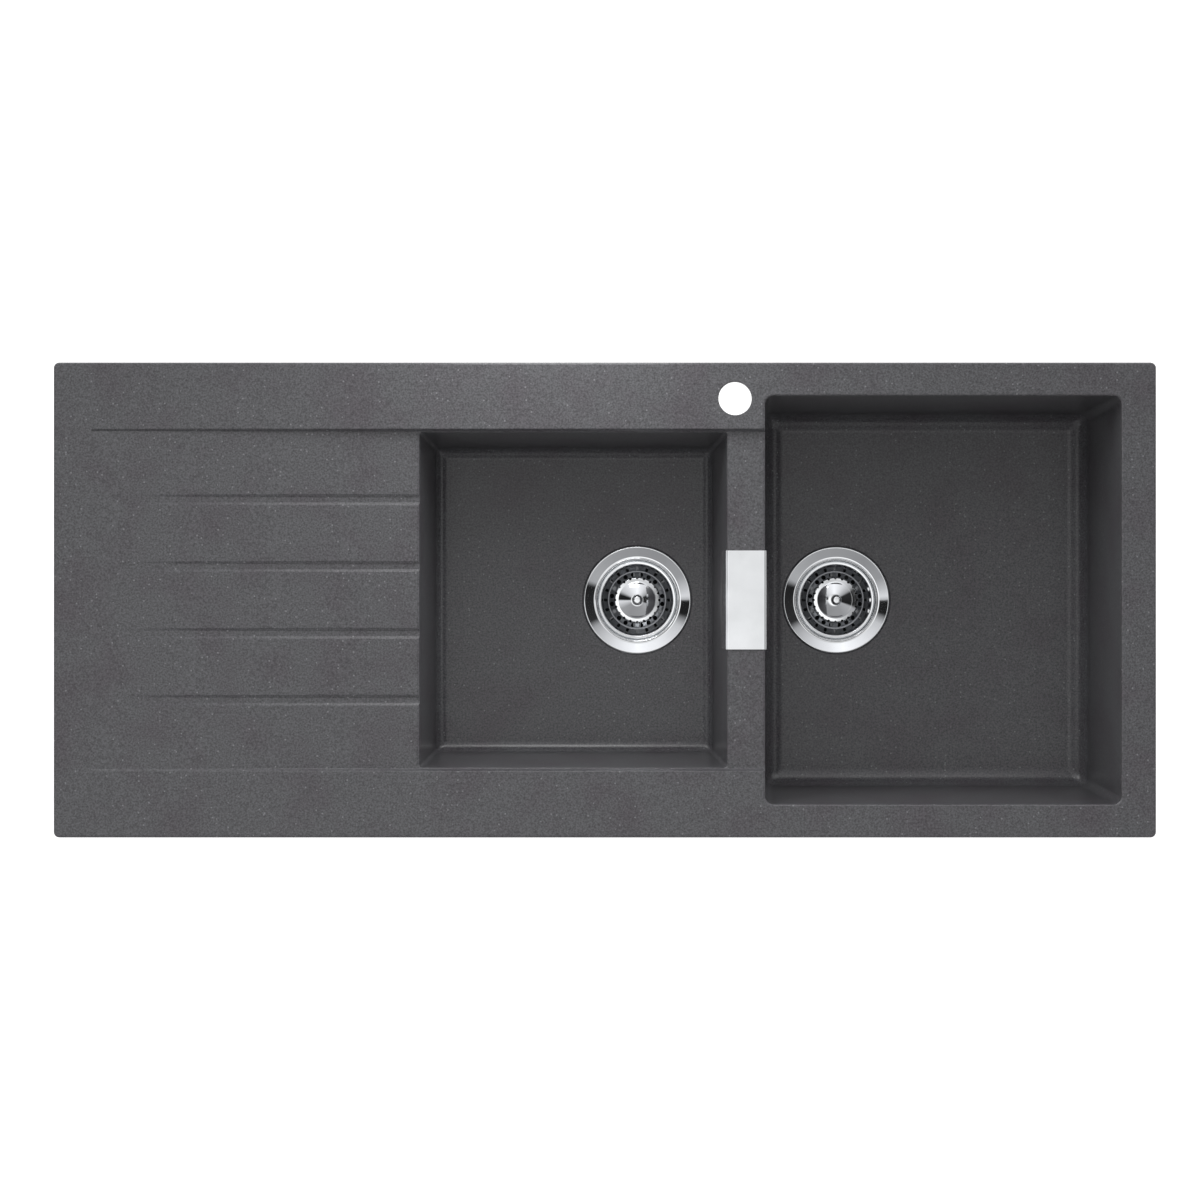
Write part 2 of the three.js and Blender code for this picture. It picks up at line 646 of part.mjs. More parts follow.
function wasteFlange() {
  const r = FLANGE_D / 2;
  const foot = CONE_FOOT_D / 2;
  const line = [
    [r, FLANGE_CREST - FLANGE_ROLL],
    [r - FLANGE_ROLL, FLANGE_CREST],
    [foot, -CONE_DROP],
    [CUP_R + CUP_MOUTH, -CONE_DROP - STEP_FALL],
    [CUP_R, -CONE_DROP - STEP_FALL - CUP_MOUTH],
    [CUP_R, -CUP_LEDGE_DROP],
    [LOWER_CUP_R, -CUP_LEDGE_DROP - CUP_LEDGE_FALL],
    [LOWER_CUP_R, -CUP_DROP + CUP_FOOT],
    [LOWER_CUP_R - CUP_FOOT, -CUP_DROP],
    [SCREW_HOLE_D / 2, -CUP_DROP],
  ];
  const cup = turned(sheetSection(line, FLANGE_SHEET), FLANGE_STEPS);
  return cut(cup, windows());
}

// Openings in the cup's floor, between spokes that carry the hub.
function windows() {
  const inner = FLANGE_HUB_D / 2;
  const outer = LOWER_CUP_R - CUP_FOOT - FLANGE_WINDOW_MARGIN;
  const cutters = [];
  for (let i = 0; i < FLANGE_WINDOW_COUNT; i += 1) {
    const middle = (i / FLANGE_WINDOW_COUNT) * 2 * Math.PI;
    const half = Math.PI / FLANGE_WINDOW_COUNT;
    const spoke = (radius) => half - Math.asin(FLANGE_SPOKE / 2 / radius);
    const corner = (radius, side) => {
      const angle = middle + side * spoke(radius);
      return new THREE.Vector2(radius * Math.cos(angle), radius * Math.sin(angle));
    };
    const mid = (radius) => new THREE.Vector2(radius * Math.cos(middle), radius * Math.sin(middle));
    const outline = [corner(inner, -1), corner(outer, -1), mid(outer), corner(outer, 1), corner(inner, 1)];
    const depth = FLANGE_SHEET + 2 * PAST;
    const geometry = new THREE.ExtrudeGeometry(new THREE.Shape(outline), { depth, bevelEnabled: false });
    cutters.push(solidOf(geometry.translate(0, 0, -CUP_DROP - FLANGE_SHEET - PAST)));
  }
  return cutters;
}

// Foam ring between the flange and its seat in the casting.
function flangeSeal() {
  const seat = -SEAT_DROP + TOUCH_GAP;
  const top = -CONE_DROP - STEP_FALL - FLANGE_SHEET - TOUCH_GAP;
  const outer = CONE_FOOT_D / 2;
  const inner = outer - FLANGE_SEAL_WIDTH;
  return turned([[inner, seat], [outer, seat], [outer, top], [inner, top]], RING_STEPS);
}

const TROUGH_OUTER_R = (TROUGH_D + TROUGH_WIDTH) / 2;
const TROUGH_INNER_R = (TROUGH_D - TROUGH_WIDTH) / 2;

function basketLine() {
  const r = BASKET_D / 2;
  const domeR = DOME_D / 2;
  const stemR = STEM_D / 2 + TOUCH_GAP;
  const line = [
    [r, -BASKET_RIM_DROP - BASKET_ROLL],
    [r - BASKET_ROLL, -BASKET_RIM_DROP],
    [r - BASKET_RIM, -BASKET_RIM_DROP - BASKET_RIM_FALL],
    [TROUGH_OUTER_R + SLOT_BAND, SLOT_BAND_RISE - BASKET_FLOOR_DROP],
    [TROUGH_OUTER_R, -BASKET_FLOOR_DROP],
    [TROUGH_INNER_R, -BASKET_FLOOR_DROP],
    [TROUGH_INNER_R - HOLE_BAND, HOLE_BAND_RISE - BASKET_FLOOR_DROP],
  ];
  for (let i = 0; i <= DOME_STEPS; i += 1) {
    const radius = lerp(domeR, stemR, i / DOME_STEPS);
    line.push([radius, lerp(-DOME_TOP_DROP, -DOME_EDGE_DROP, (radius / domeR) ** 2)]);
  }
  return line;
}

// Cutters for one ring of perforations; each is a short prism across the sheet.
function perforations(radius, width, length, sides, z0, z1) {
  const cutters = [];
  for (let i = 0; i < PERFORATIONS; i += 1) {
    const geometry = new THREE.CylinderGeometry(width / 2, width / 2, z1 - z0, sides);
    geometry.rotateX(Math.PI / 2).rotateZ(Math.PI / sides).scale(length / width, 1, 1);
    geometry.translate(radius, 0, (z0 + z1) / 2);
    geometry.rotateZ(((i + 0.5) / PERFORATIONS) * 2 * Math.PI);
    cutters.push(solidOf(geometry));
  }
  return cutters;
}

function basket() {
  const bowl = turned(sheetSection(basketLine(), BASKET_SHEET), BASKET_STEPS);
  const holeR = TROUGH_INNER_R - HOLE_BAND / 2;
  const notchR = (TROUGH_INNER_R - HOLE_BAND + DOME_D / 2) / 2;
  const slotR = TROUGH_OUTER_R + SLOT_BAND / 2;
  const [low, high] = [-BASKET_FLOOR_DROP - PAST, -DOME_TOP_DROP];
  return cut(bowl, [
    ...perforations(notchR, NOTCH_D, NOTCH_D, 4, low, high),
    ...perforations(holeR, HOLE_D, HOLE_D, 6, low, high),
    ...perforations(slotR, SLOT_WIDTH, SLOT_LENGTH, 4, low, high),
  ]);
}

// Rubber ring under the basket's rim; it closes the waste on the cup's ledge.
function stopper() {
  const outer = BASKET_D / 2 - STOPPER_INSET;
  const top = -BASKET_RIM_DROP - BASKET_ROLL - BASKET_SHEET - TOUCH_GAP;
  const low = -CUP_LEDGE_DROP + TOUCH_GAP;
  return ringBar(2 * (outer - STOPPER_WIDTH), 2 * outer, low, top, RING_STEPS);
}

// Knob and stem turned in one piece; the stem passes through the dome.
function knob() {
  const stem = STEM_D / 2;
  const neck = stem + STEM_NECK;
  const r = KNOB_D / 2;
  const foot = -DOME_TOP_DROP - BASKET_SHEET - RETAINER_HEIGHT;
  const collar = -DOME_TOP_DROP + TOUCH_GAP;
  const under = -DOME_TOP_DROP + KNOB_RISE;
  const top = under + KNOB_HEIGHT;
  return turned([
    [0, foot],
    [stem, foot],
    [stem, collar],
    [stem + STEM_COLLAR, collar],
    [neck, collar + STEM_COLLAR_HEIGHT],
    [neck, under],
    [r, under + KNOB_EDGE],
    [r, top - KNOB_CROWN],
    [KNOB_FACE_D / 2, top],
    [0, top],
  ], KNOB_STEPS);
}

// Press-on disc that holds the stem under the dome.
function retainer() {
  const top = -DOME_TOP_DROP - BASKET_SHEET - TOUCH_GAP - RETAINER_SLACK;
  return ringBar(STEM_D + 2 * TOUCH_GAP, RETAINER_D, top - RETAINER_HEIGHT, top, SCREW_STEPS);
}

const GASKET_TOP = -FLOOR_THICKNESS - WASTE_BOSS - TOUCH_GAP;
const BODY_TOP = GASKET_TOP - GASKET_THICKNESS - TOUCH_GAP;
const BODY_CUP_R = LOWER_CUP_R + FLANGE_SHEET + BODY_CLEARANCE;
const HUB_TOP = -CUP_DROP - FLANGE_SHEET - TOUCH_GAP;
const PIPE_BORE = PIPE_D - 2 * PIPE_WALL;

function wasteBody(hasPort) {
  const outlet = OUTLET_D / 2;
  const bore = outlet - OUTLET_WALL;
  const flangeR = GASKET_D / 2;
  const cupFoot = -BODY_CUP_DROP;
  const neck = cupFoot - BODY_FUNNEL;
  const shell = turned([
    [bore, -OUTLET_DROP],
    [outlet, -OUTLET_DROP],
    [outlet, neck - BODY_WALL],
    [BODY_CUP_R + BODY_WALL, cupFoot],
    [BODY_CUP_R + BODY_WALL, BODY_TOP - BODY_FLANGE_THICKNESS],
    [flangeR, BODY_TOP - BODY_FLANGE_THICKNESS],
    [flangeR, BODY_TOP],
    [BODY_CUP_R, BODY_TOP],
    [BODY_CUP_R, cupFoot],
    [bore, neck],
  ], RING_STEPS);
  const webs = [];
  for (let i = 0; i < HUB_WEBS; i += 1) {
    const t = WEB_THICKNESS / 2;
    const web = block(0, -t, HUB_TOP - HUB_HEIGHT, BODY_CUP_R + BODY_WALL / 2, t, HUB_TOP - HUB_ABOVE_WEBS);
    webs.push(web.rotate([0, 0, (i + 0.5) * 360 / HUB_WEBS]));
  }
  const hub = rod(HUB_D, HUB_TOP - HUB_HEIGHT, HUB_TOP, SCREW_STEPS);
  let body = union([shell, hub, ...webs]);
  if (hasPort) {
    const outer = alongX(rod(PIPE_D, BODY_CUP_R + BODY_WALL / 2, PORT_END, PIPE_SIDES), -1, -PORT_DROP);
    const way = alongX(rod(PIPE_BORE, BODY_CUP_R - PAST, PORT_END + PAST, PIPE_SIDES), -1, -PORT_DROP);
    body = body.add(outer).subtract(way);
  }
  const holeD = CLAMP_SCREW_D + 2 * TOUCH_GAP;
  return body.subtract(rod(holeD, HUB_TOP - HUB_HEIGHT - PAST, HUB_TOP + PAST, SCREW_STEPS));
}

// Lays a solid made along +Z on its side, so that it points along +X or -X at height z.
function alongX(solid, direction, z) {
  return solid.rotate([0, direction * 90, 0]).translate(0, 0, z);
}

const PORT_END = BODY_CUP_R + BODY_WALL + SPIGOT_LENGTH;

function clampScrew() {
  const seat = -CUP_DROP + TOUCH_GAP;
  const shank = CLAMP_SCREW_D / 2;
  const head = CLAMP_HEAD_D / 2;
  const tip = HUB_TOP - HUB_HEIGHT - SCREW_TIP;
  return turned([
    [0, tip],
    [shank, tip],
    [shank, seat],
    [head, seat],
    [head, seat + CLAMP_HEAD_HEIGHT * HEAD_SIDE],
    [CLAMP_HEAD_FACE_D / 2, seat + CLAMP_HEAD_HEIGHT],
    [0, seat + CLAMP_HEAD_HEIGHT],
  ], SCREW_STEPS);
}

function addWaste(prefix, bowl, hasPort) {
  const place = [bowl.wasteX, 0, bowl.floor];
  addPiece(`${prefix}_waste_flange`, wasteFlange(), STEEL, ...place);
  addPiece(`${prefix}_flange_seal`, flangeSeal(), FOAM, ...place);
  const gasketInner = WASTE_HOLE_D + 2 * GASKET_CLEARANCE;
  const gasket = ringBar(gasketInner, GASKET_D, GASKET_TOP - GASKET_THICKNESS, GASKET_TOP, RING_STEPS);
  addPiece(`${prefix}_waste_gasket`, gasket, RUBBER, ...place);
  addPiece(`${prefix}_waste_body`, wasteBody(hasPort), PLASTIC, ...place);
  addPiece(`${prefix}_clamp_screw`, clampScrew(), STEEL, ...place);
  addPiece(`${prefix}_basket`, basket(), STEEL, ...place);
  addPiece(`${prefix}_basket_stopper`, stopper(), RUBBER, ...place);
  addPiece(`${prefix}_basket_knob`, knob(), STEEL, ...place);
  addPiece(`${prefix}_basket_retainer`, retainer(), STEEL, ...place);
}

addWaste('main', mainBowl, true);
addWaste('small', smallBowl, false);

// ---------------------------------------------------------------- overflow

// Outer faces of the two bowl walls, either side of the hollow under the divider.
const smallBack = (z) => SMALL_X1 - leanAt(smallBowl, z) + CASTING_WALL;
const mainBack = (z) => MAIN_X0 + leanAt(mainBowl, z) - CASTING_WALL;
const smallFace = (z) => SMALL_X1 - leanAt(smallBowl, z);
const mainFace = (z) => MAIN_X0 + leanAt(mainBowl, z);

// Saddle over the divider; its legs hide the overflow slots and stand off the walls.
function overflowCover() {
  const top = PAN_Z + TOUCH_GAP;
  const foot = top - COVER_LEG;
  const small = smallFace(top) - SLIDE_GAP;
  const main = mainFace(top) + SLIDE_GAP;
  const inner = [
    [smallFace(foot) - SLIDE_GAP - COVER_SPLAY, foot],
    [small, top - COVER_BEND_R],
    [small + COVER_BEND_R, top],
    [main - COVER_BEND_R, top],
    [main, top - COVER_BEND_R],
    [mainFace(foot) + SLIDE_GAP + COVER_SPLAY, foot],
  ];
  return slab(sheetSection(inner.reverse(), -COVER_SHEET), COVER_LENGTH);
}

addPiece('overflow_cover', overflowCover(), STEEL);

const DUCT_HALF_LENGTH = OVERFLOW_SLOT_LENGTH / 2 + DUCT_END_MARGIN;
const DUCT_HALF_HEIGHT = OVERFLOW_SLOT_HEIGHT / 2 + DUCT_EDGE_MARGIN;

// A slice of the hollow between two leaning faces.
function slice(faceA, faceB, halfHeight, halfLength) {
  const [z0, z1] = [OVERFLOW_Z - halfHeight, OVERFLOW_Z + halfHeight];
  const outline = [[faceA(z0), z0], [faceB(z0), z0], [faceB(z1), z1], [faceA(z1), z1]];
  return slab(outline, 2 * halfLength);
}

function overflowGasket(faceA, faceB) {
  const plate = slice(faceA, faceB, DUCT_HALF_HEIGHT, DUCT_HALF_LENGTH);
  const window = slice(
    (z) => faceA(z) - PAST, (z) => faceB(z) + PAST, OVERFLOW_SLOT_HEIGHT / 2, OVERFLOW_SLOT_LENGTH / 2);
  return plate.subtract(window);
}

const seated = OVERFLOW_GASKET + TOUCH_GAP;
addPiece('overflow_gasket_small',
  overflowGasket((z) => smallBack(z) + TOUCH_GAP, (z) => smallBack(z) + seated), RUBBER);
addPiece('overflow_gasket_main',
  overflowGasket((z) => mainBack(z) - seated, (z) => mainBack(z) - TOUCH_GAP), RUBBER);

const PIPE_X = (smallBack(OVERFLOW_Z) + mainBack(OVERFLOW_Z)) / 2;
const DUCT_FOOT = OVERFLOW_Z - DUCT_HALF_HEIGHT;

// Open-sided duct that gathers the water from both slots and leads it down.
function overflowDuct() {
  const clear = seated + TOUCH_GAP;
  const [left, right] = [(z) => smallBack(z) + clear, (z) => mainBack(z) - clear];
  const duct = slice(left, right, DUCT_HALF_HEIGHT, DUCT_HALF_LENGTH);
  const passage = slice(smallBack, mainBack, OVERFLOW_SLOT_HEIGHT / 2 + DUCT_WALL, OVERFLOW_SLOT_LENGTH / 2);
  const low = DUCT_FOOT - SPIGOT_LENGTH;
  const spigot = rod(PIPE_D, low, DUCT_FOOT + DUCT_WALL / 2, PIPE_SIDES).translate(PIPE_X, 0, 0);
  const way = rod(PIPE_BORE, low - PAST, OVERFLOW_Z, PIPE_SIDES).translate(PIPE_X, 0, 0);
  return duct.add(spigot).subtract(passage).subtract(way);
}

addPiece('overflow_duct', overflowDuct(), PLASTIC);

const PORT = new THREE.Vector3(mainBowl.wasteX - PORT_END, 0, mainBowl.floor - PORT_DROP);

function overflowPipe() {
  const start = new THREE.Vector3(PIPE_X, 0, DUCT_FOOT - SPIGOT_LENGTH - TOUCH_GAP);
  const end = PORT.clone().add(new THREE.Vector3(-TOUCH_GAP, 0, 0));
  const drop = start.clone().add(new THREE.Vector3(0, 0, -PIPE_STRAIGHT));
  const enter = end.clone().add(new THREE.Vector3(-PIPE_STRAIGHT, 0, 0));
  const path = new THREE.CurvePath();
  path.add(new THREE.LineCurve3(start, drop));
  const low = new THREE.Vector3(PIPE_X, 0, lerp(start.z, end.z, PIPE_FALL));
  const near = new THREE.Vector3(lerp(PIPE_X, end.x, PIPE_REACH), 0, end.z);
  path.add(new THREE.CubicBezierCurve3(drop, low, near, enter));
  path.add(new THREE.LineCurve3(enter, end));
  const section = new THREE.Shape().absarc(0, 0, PIPE_D / 2, 0, 2 * Math.PI);
  section.holes.push(new THREE.Path().absarc(0, 0, PIPE_BORE / 2, 0, 2 * Math.PI, true));
  const options = {
    extrudePath: path,
    steps: PIPE_STEPS,
    curveSegments: PIPE_SIDES / 2,
    bevelEnabled: false,
  };
  return solidOf(new THREE.ExtrudeGeometry(section, options));
}

addPiece('overflow_pipe', overflowPipe(), PLASTIC);

function unionNut() {
  return ringBar(PIPE_D + 2 * SLIDE_GAP, UNION_D, -UNION_LENGTH / 2, UNION_LENGTH / 2, PIPE_SIDES);
}

const DUCT_UNION_Z = DUCT_FOOT - SPIGOT_LENGTH;
addPiece('overflow_duct_nut', unionNut(), PLASTIC, PIPE_X, 0, DUCT_UNION_Z);
addPiece('overflow_port_nut', alongX(unionNut(), 1, 0), PLASTIC, PORT.x, 0, PORT.z);

// ---------------------------------------------------------------- fixing clips

// Bent strip with a hole for the screw; its raised tip grips under the worktop.
function clipHook() {
  const half = CLIP_STRIP_WIDTH / 2;
  const t = CLIP_STRIP_THICKNESS;
  const outline = [
    [-half, 0],
    [CLIP_REACH, 0],
    [CLIP_REACH, CLIP_TIP + t],
    [CLIP_REACH - t, CLIP_TIP + t],
    [CLIP_REACH - t, t],
    [-half, t],
  ];
  const strip = slab(outline, CLIP_STRIP_WIDTH);
  return strip.subtract(rod(CLIP_SCREW_D + 2 * SLIDE_GAP, -PAST, t + PAST, SCREW_STEPS));
}

function clipScrew(hookZ) {
  const seat = hookZ - TOUCH_GAP;
  const shank = CLIP_SCREW_D / 2;
  const head = CLIP_HEAD_D / 2;
  const tip = CLIP_SCREW_BITE - SKIRT_DROP;
  return turned([
    [0, seat - CLIP_HEAD_HEIGHT],
    [CLIP_HEAD_FACE_D / 2, seat - CLIP_HEAD_HEIGHT],
    [head, seat - CLIP_HEAD_HEIGHT * HEAD_SIDE],
    [head, seat],
    [shank, seat],
    [shank, tip],
    [0, tip],
  ], SCREW_STEPS);
}

const HOOK_Z = -WORKTOP_THICKNESS - CLIP_TIP - CLIP_STRIP_THICKNESS;

for (const { name, x, y, outward } of clipPlaces()) {
  // At rest the hook lies along the skirt, a quarter turn from the worktop.
  addPiece(`clip_${name}_hook`, clipHook(), ZINC, x, y, HOOK_Z, outward + Math.PI / 2);
  addPiece(`clip_${name}_screw`, clipScrew(HOOK_Z), ZINC, x, y, 0);
}

export default sink;
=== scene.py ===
# %% [markdown]
# # A cast kitchen sink with a drainer
# The object is an inset sink: a dark granite composite casting with a grooved drainer and two bowls,
# and in each bowl a polished strainer waste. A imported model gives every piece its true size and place.
# This lesson builds the fine surface round that model: rounded edges, pressed sheet, perforations,
# threads and the finish of each material. All sizes below are real ones, in millimetres.

# %% Load the frame
import json
import math

import bmesh
import bpy
from mathutils import Matrix, Vector
from mathutils.geometry import interpolate_bezier

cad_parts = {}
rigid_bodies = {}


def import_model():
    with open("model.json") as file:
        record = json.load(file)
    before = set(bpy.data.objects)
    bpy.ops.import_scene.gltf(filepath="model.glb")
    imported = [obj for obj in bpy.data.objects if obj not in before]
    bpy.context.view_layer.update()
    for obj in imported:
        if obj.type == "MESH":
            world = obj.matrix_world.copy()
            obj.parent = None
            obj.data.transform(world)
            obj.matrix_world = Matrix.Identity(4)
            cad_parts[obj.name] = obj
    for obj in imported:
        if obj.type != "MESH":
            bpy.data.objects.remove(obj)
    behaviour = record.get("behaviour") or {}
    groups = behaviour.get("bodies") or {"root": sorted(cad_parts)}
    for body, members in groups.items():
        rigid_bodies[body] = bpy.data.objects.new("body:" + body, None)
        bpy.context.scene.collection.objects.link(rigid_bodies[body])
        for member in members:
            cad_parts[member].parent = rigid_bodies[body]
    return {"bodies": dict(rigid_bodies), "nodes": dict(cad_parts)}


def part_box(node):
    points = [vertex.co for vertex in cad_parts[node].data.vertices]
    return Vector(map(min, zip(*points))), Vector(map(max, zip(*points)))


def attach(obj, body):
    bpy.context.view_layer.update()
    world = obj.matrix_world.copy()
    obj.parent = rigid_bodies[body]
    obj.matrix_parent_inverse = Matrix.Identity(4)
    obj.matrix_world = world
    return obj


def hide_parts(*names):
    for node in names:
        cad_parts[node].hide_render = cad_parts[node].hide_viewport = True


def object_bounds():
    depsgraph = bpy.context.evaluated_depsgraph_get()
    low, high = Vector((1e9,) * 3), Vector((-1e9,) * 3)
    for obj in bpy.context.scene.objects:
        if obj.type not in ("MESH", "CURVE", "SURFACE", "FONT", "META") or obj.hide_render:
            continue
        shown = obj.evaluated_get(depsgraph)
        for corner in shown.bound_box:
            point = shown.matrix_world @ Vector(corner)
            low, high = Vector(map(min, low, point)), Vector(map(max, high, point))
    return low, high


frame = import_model()
cad_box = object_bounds()
print("CAD box in metres:", [round(value, 4) for corner in cad_box for value in corner])

# %% [markdown]
# The photograph was taken from straight above, so the bowls' walls show only through their draft and
# through perspective. The distance follows from how much smaller the bowls' floors look than the rim.
# The lens then follows from the width of the picture at the height of the rim.

# %% Camera
MM = 0.001
PHOTO_SIDE = 1200  # pixels
PHOTO_SCALE = 0.951  # pixels to a millimetre, at the height of the rim
SINK_CENTRE_PIXEL = 604.9  # the column of pixels at the sink's middle
CAMERA_ABOVE_RIM = 3316 * MM
SENSOR = 36

rim_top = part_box("sink_body")[1].z
picture_width = PHOTO_SIDE / PHOTO_SCALE * MM
camera_data = bpy.data.cameras.new("Camera")
camera_data.sensor_width = SENSOR
camera_data.lens = SENSOR * CAMERA_ABOVE_RIM / picture_width
camera = bpy.data.objects.new("Camera", camera_data)
aside = (PHOTO_SIDE / 2 - SINK_CENTRE_PIXEL) / PHOTO_SCALE * MM
camera.location = (aside, 0, rim_top + CAMERA_ABOVE_RIM)
bpy.context.scene.collection.objects.link(camera)
bpy.context.scene.camera = camera
print("Lens", round(camera_data.lens, 1), "mm, picture", round(picture_width, 3), "m wide")

# %% [markdown]
# Small helpers serve every material. One turns an sRGB hex colour to linear light, because shaders
# calculate in linear light. One adds a node: it sets the node's options, gives each socket a value or
# a link, and returns the node's outputs. So a whole material reads as a short list. Most finishes of
# this sink are the same in kind, two close shades and a fine relief, so one recipe makes those.

# %% Colour and node helpers
def linear(hex_colour):
    """An sRGB hex colour as linear red, green, blue and full alpha."""
    channels = [int(hex_colour[i:i + 2], 16) / 255 for i in (1, 3, 5)]
    bent = [c / 12.92 if c <= 0.04045 else ((c + 0.055) / 1.055) ** 2.4 for c in channels]
    return (*bent, 1.0)


def add(tree, kind, sockets=None, **options):
    """Adds a node and returns its outputs; a socket takes a value or another node's output."""
    made = tree.nodes.new(kind)
    for name, value in options.items():
        setattr(made, name, value)
    for socket, value in (sockets or {}).items():
        if isinstance(value, bpy.types.NodeSocket):
            tree.links.new(value, made.inputs[socket])
        else:
            made.inputs[socket].default_value = value
    return made.outputs


def blank_material(name):
    """A material with an empty tree, and the tree."""
    made = bpy.data.materials.new(name)
    made.use_nodes = True
    made.node_tree.nodes.clear()
    return made, made.node_tree


def per_mm(size):
    """The scale at which a pattern's features are about this many millimetres across."""
    return 1 / (size * MM)


def two_toned(name, clouds, spread, shades, relief, bump, **sockets):
    """A finish of two close shades in soft clouds, with a fine relief.

    Clouds and relief are noises, each given by its size in millimetres, its detail and its roughness.
    Spread is the span of the clouds' noise in which one shade gives way to the other, and bump holds
    the relief's strength and its depth in millimetres. What else is named goes to the shader.
    """
    made, tree = blank_material(name)
    place = add(tree, "ShaderNodeTexCoord")["Object"]
    noises = [{"Vector": place, "Scale": per_mm(size), "Detail": detail, "Roughness": rough}
              for size, detail, rough in (clouds, relief)]
    tone, height = (add(tree, "ShaderNodeTexNoise", noise)[0] for noise in noises)
    share = add(tree, "ShaderNodeMapRange", {"Value": tone, "From Min": spread[0], "From Max": spread[1]})[0]
    blend = {0: share, 6: linear(shades[0]), 7: linear(shades[1])}
    colour = add(tree, "ShaderNodeMix", blend, data_type="RGBA")[2]
    normal = add(tree, "ShaderNodeBump", {"Strength": bump[0], "Distance": bump[1] * MM, "Height": height})[0]
    shader = add(tree, "ShaderNodeBsdfPrincipled", {"Base Color": colour, "Normal": normal, **sockets})[0]
    add(tree, "ShaderNodeOutputMaterial", {"Surface": shader})
    print(name, "changes shade every", clouds[0], "mm")
    return made


print("Mid grey is", round(linear("#808080")[0], 3), "in linear light")

# %% [markdown]
# The casting is granite composite: crushed quartz and granite sand in a dark acrylic resin, cast in
# a mould. The eye sees a matt grey that is a fine mix of darker and lighter grains, a few pale
# flecks, and faint warm clouds where the sand isn't evenly mixed. The grains in the real material are
# about 0.5 mm; here they are drawn about 2 mm wide, because finer ones vanish at the picture's scale.

# %% Granite composite
GRAIN_MM = 1.9
FLECK_MM = 5.5
CLOUD_MM = 60

GRANITE, tree = blank_material("Granite composite, cast")
place = add(tree, "ShaderNodeTexCoord")["Object"]
noise = {"Vector": place, "Detail": 3}
grain = add(tree, "ShaderNodeTexNoise", {**noise, "Scale": per_mm(GRAIN_MM), "Roughness": 0.62})[0]
share = add(tree, "ShaderNodeMapRange", {"Value": grain, "From Min": 0.3, "From Max": 0.7})[0]
sand = add(tree, "ShaderNodeMix", {0: share, 6: linear("#39393b"), 7: linear("#666669")}, data_type="RGBA")[2]
mist = add(tree, "ShaderNodeTexNoise", {**noise, "Scale": per_mm(CLOUD_MM), "Roughness": 0.6})[0]
cloud = add(tree, "ShaderNodeMapRange", {"Value": mist, "From Min": 0.45, "From Max": 0.7})[0]
tinted = add(tree, "ShaderNodeMix", {0: cloud, 6: sand, 7: linear("#f0e7ec")},
             data_type="RGBA", blend_type="MULTIPLY")[2]
cells = add(tree, "ShaderNodeTexVoronoi", {"Vector": place, "Scale": per_mm(FLECK_MM)})
speck = {"Value": cells["Distance"], "From Min": 0.20, "From Max": 0.12}
near_middle = add(tree, "ShaderNodeMapRange", speck)[0]
lot = add(tree, "ShaderNodeSeparateColor", {0: cells["Color"]})[0]
chosen = add(tree, "ShaderNodeMapRange", {"Value": lot, "From Min": 0.70, "From Max": 0.75})[0]
fleck = add(tree, "ShaderNodeMath", {0: near_middle, 1: chosen}, operation="MULTIPLY")[0]
flecked = add(tree, "ShaderNodeMix", {0: fleck, 6: tinted, 7: linear("#7c7c7f")}, data_type="RGBA")[2]
texture = add(tree, "ShaderNodeBump", {"Strength": 0.35, "Distance": 0.15 * MM, "Height": grain})[0]
stone = {"Base Color": flecked, "Roughness": 0.28, "IOR": 1.5, "Normal": texture}
add(tree, "ShaderNodeOutputMaterial", {"Surface": add(tree, "ShaderNodeBsdfPrincipled", stone)[0]})
print(GRANITE.name, "has grains", GRAIN_MM, "mm wide")

# %% [markdown]
# The flanges, baskets, knobs and the overflow cover are chromium-nickel steel, pressed or turned and
# then mirror polished. Polished steel has no colour of its own worth speaking of: it shows the studio.
# It is never quite flat, so a very faint, wide waviness bends the reflections a little.

# %% Mirror polished steel
WAVE_MM = 55
FILM_MM = 40  # the faint film that hard water leaves

POLISHED = two_toned("Stainless steel, mirror polished", (FILM_MM, 3, 0.5), (0.4, 0.65),
                     ("#f0f2f4", "#e9ebed"), (WAVE_MM, 1, 0.5), (0.5, 1.0), Metallic=1.0, Roughness=0.06)

# %% [markdown]
# A polishing mop doesn't reach deep into a waste. A basket keeps the satin of the rolled sheet below its
# brim, and a flange keeps it below the stopper's ledge. The sheet's brushing is finer than a millimetre,
# and it scatters what it reflects. Its grey is also painted shade: it is far darker than the polished steel
# and stands for the shade deep in the waste, so the cup looks grey and not white through the strainer's
# holes.

# %% Satin steel, with painted shade
BRUSHING = (0.8, 3, 0.5)

# painted shade: these two greys are far darker than the polished steel's, for the shade deep in a waste
SATIN_SHADED = two_toned("Stainless steel, satin, darkened as shade", BRUSHING, (0.35, 0.65), ("#8c8e91", "#9b9da0"),
                  BRUSHING, (0.2, 0.03), Metallic=1.0, Roughness=0.3)

# %% [markdown]
# Screws are turned from plain steel. The lathe leaves hairlines across them, finer than a tenth of
# a millimetre; they are drawn coarser here, so that they show at all.

# %% Turned steel
HAIRLINES = (0.7, 3, 0.5)

TURNED = two_toned("Steel, turned", HAIRLINES, (0.35, 0.65), ("#a9abae", "#c3c5c8"),
                   HAIRLINES, (0.3, 0.05), Metallic=1.0, Roughness=0.32)

# %% [markdown]
# The fixing clips are bent from zinc plated strip. The plating is a soft grey with faint blue and
# yellow clouds, which the passivating bath leaves, and it scatters light more than polished steel.

# %% Zinc plate
SPANGLE_MM = 8
PIT_MM = 0.9

ZINC = two_toned("Steel strip, zinc plated", (SPANGLE_MM, 4, 0.6), (0.35, 0.65), ("#a6acb3", "#b9b6a8"),
                 (PIT_MM, 3, 0.5), (0.25, 0.06), Metallic=1.0, Roughness=0.4)

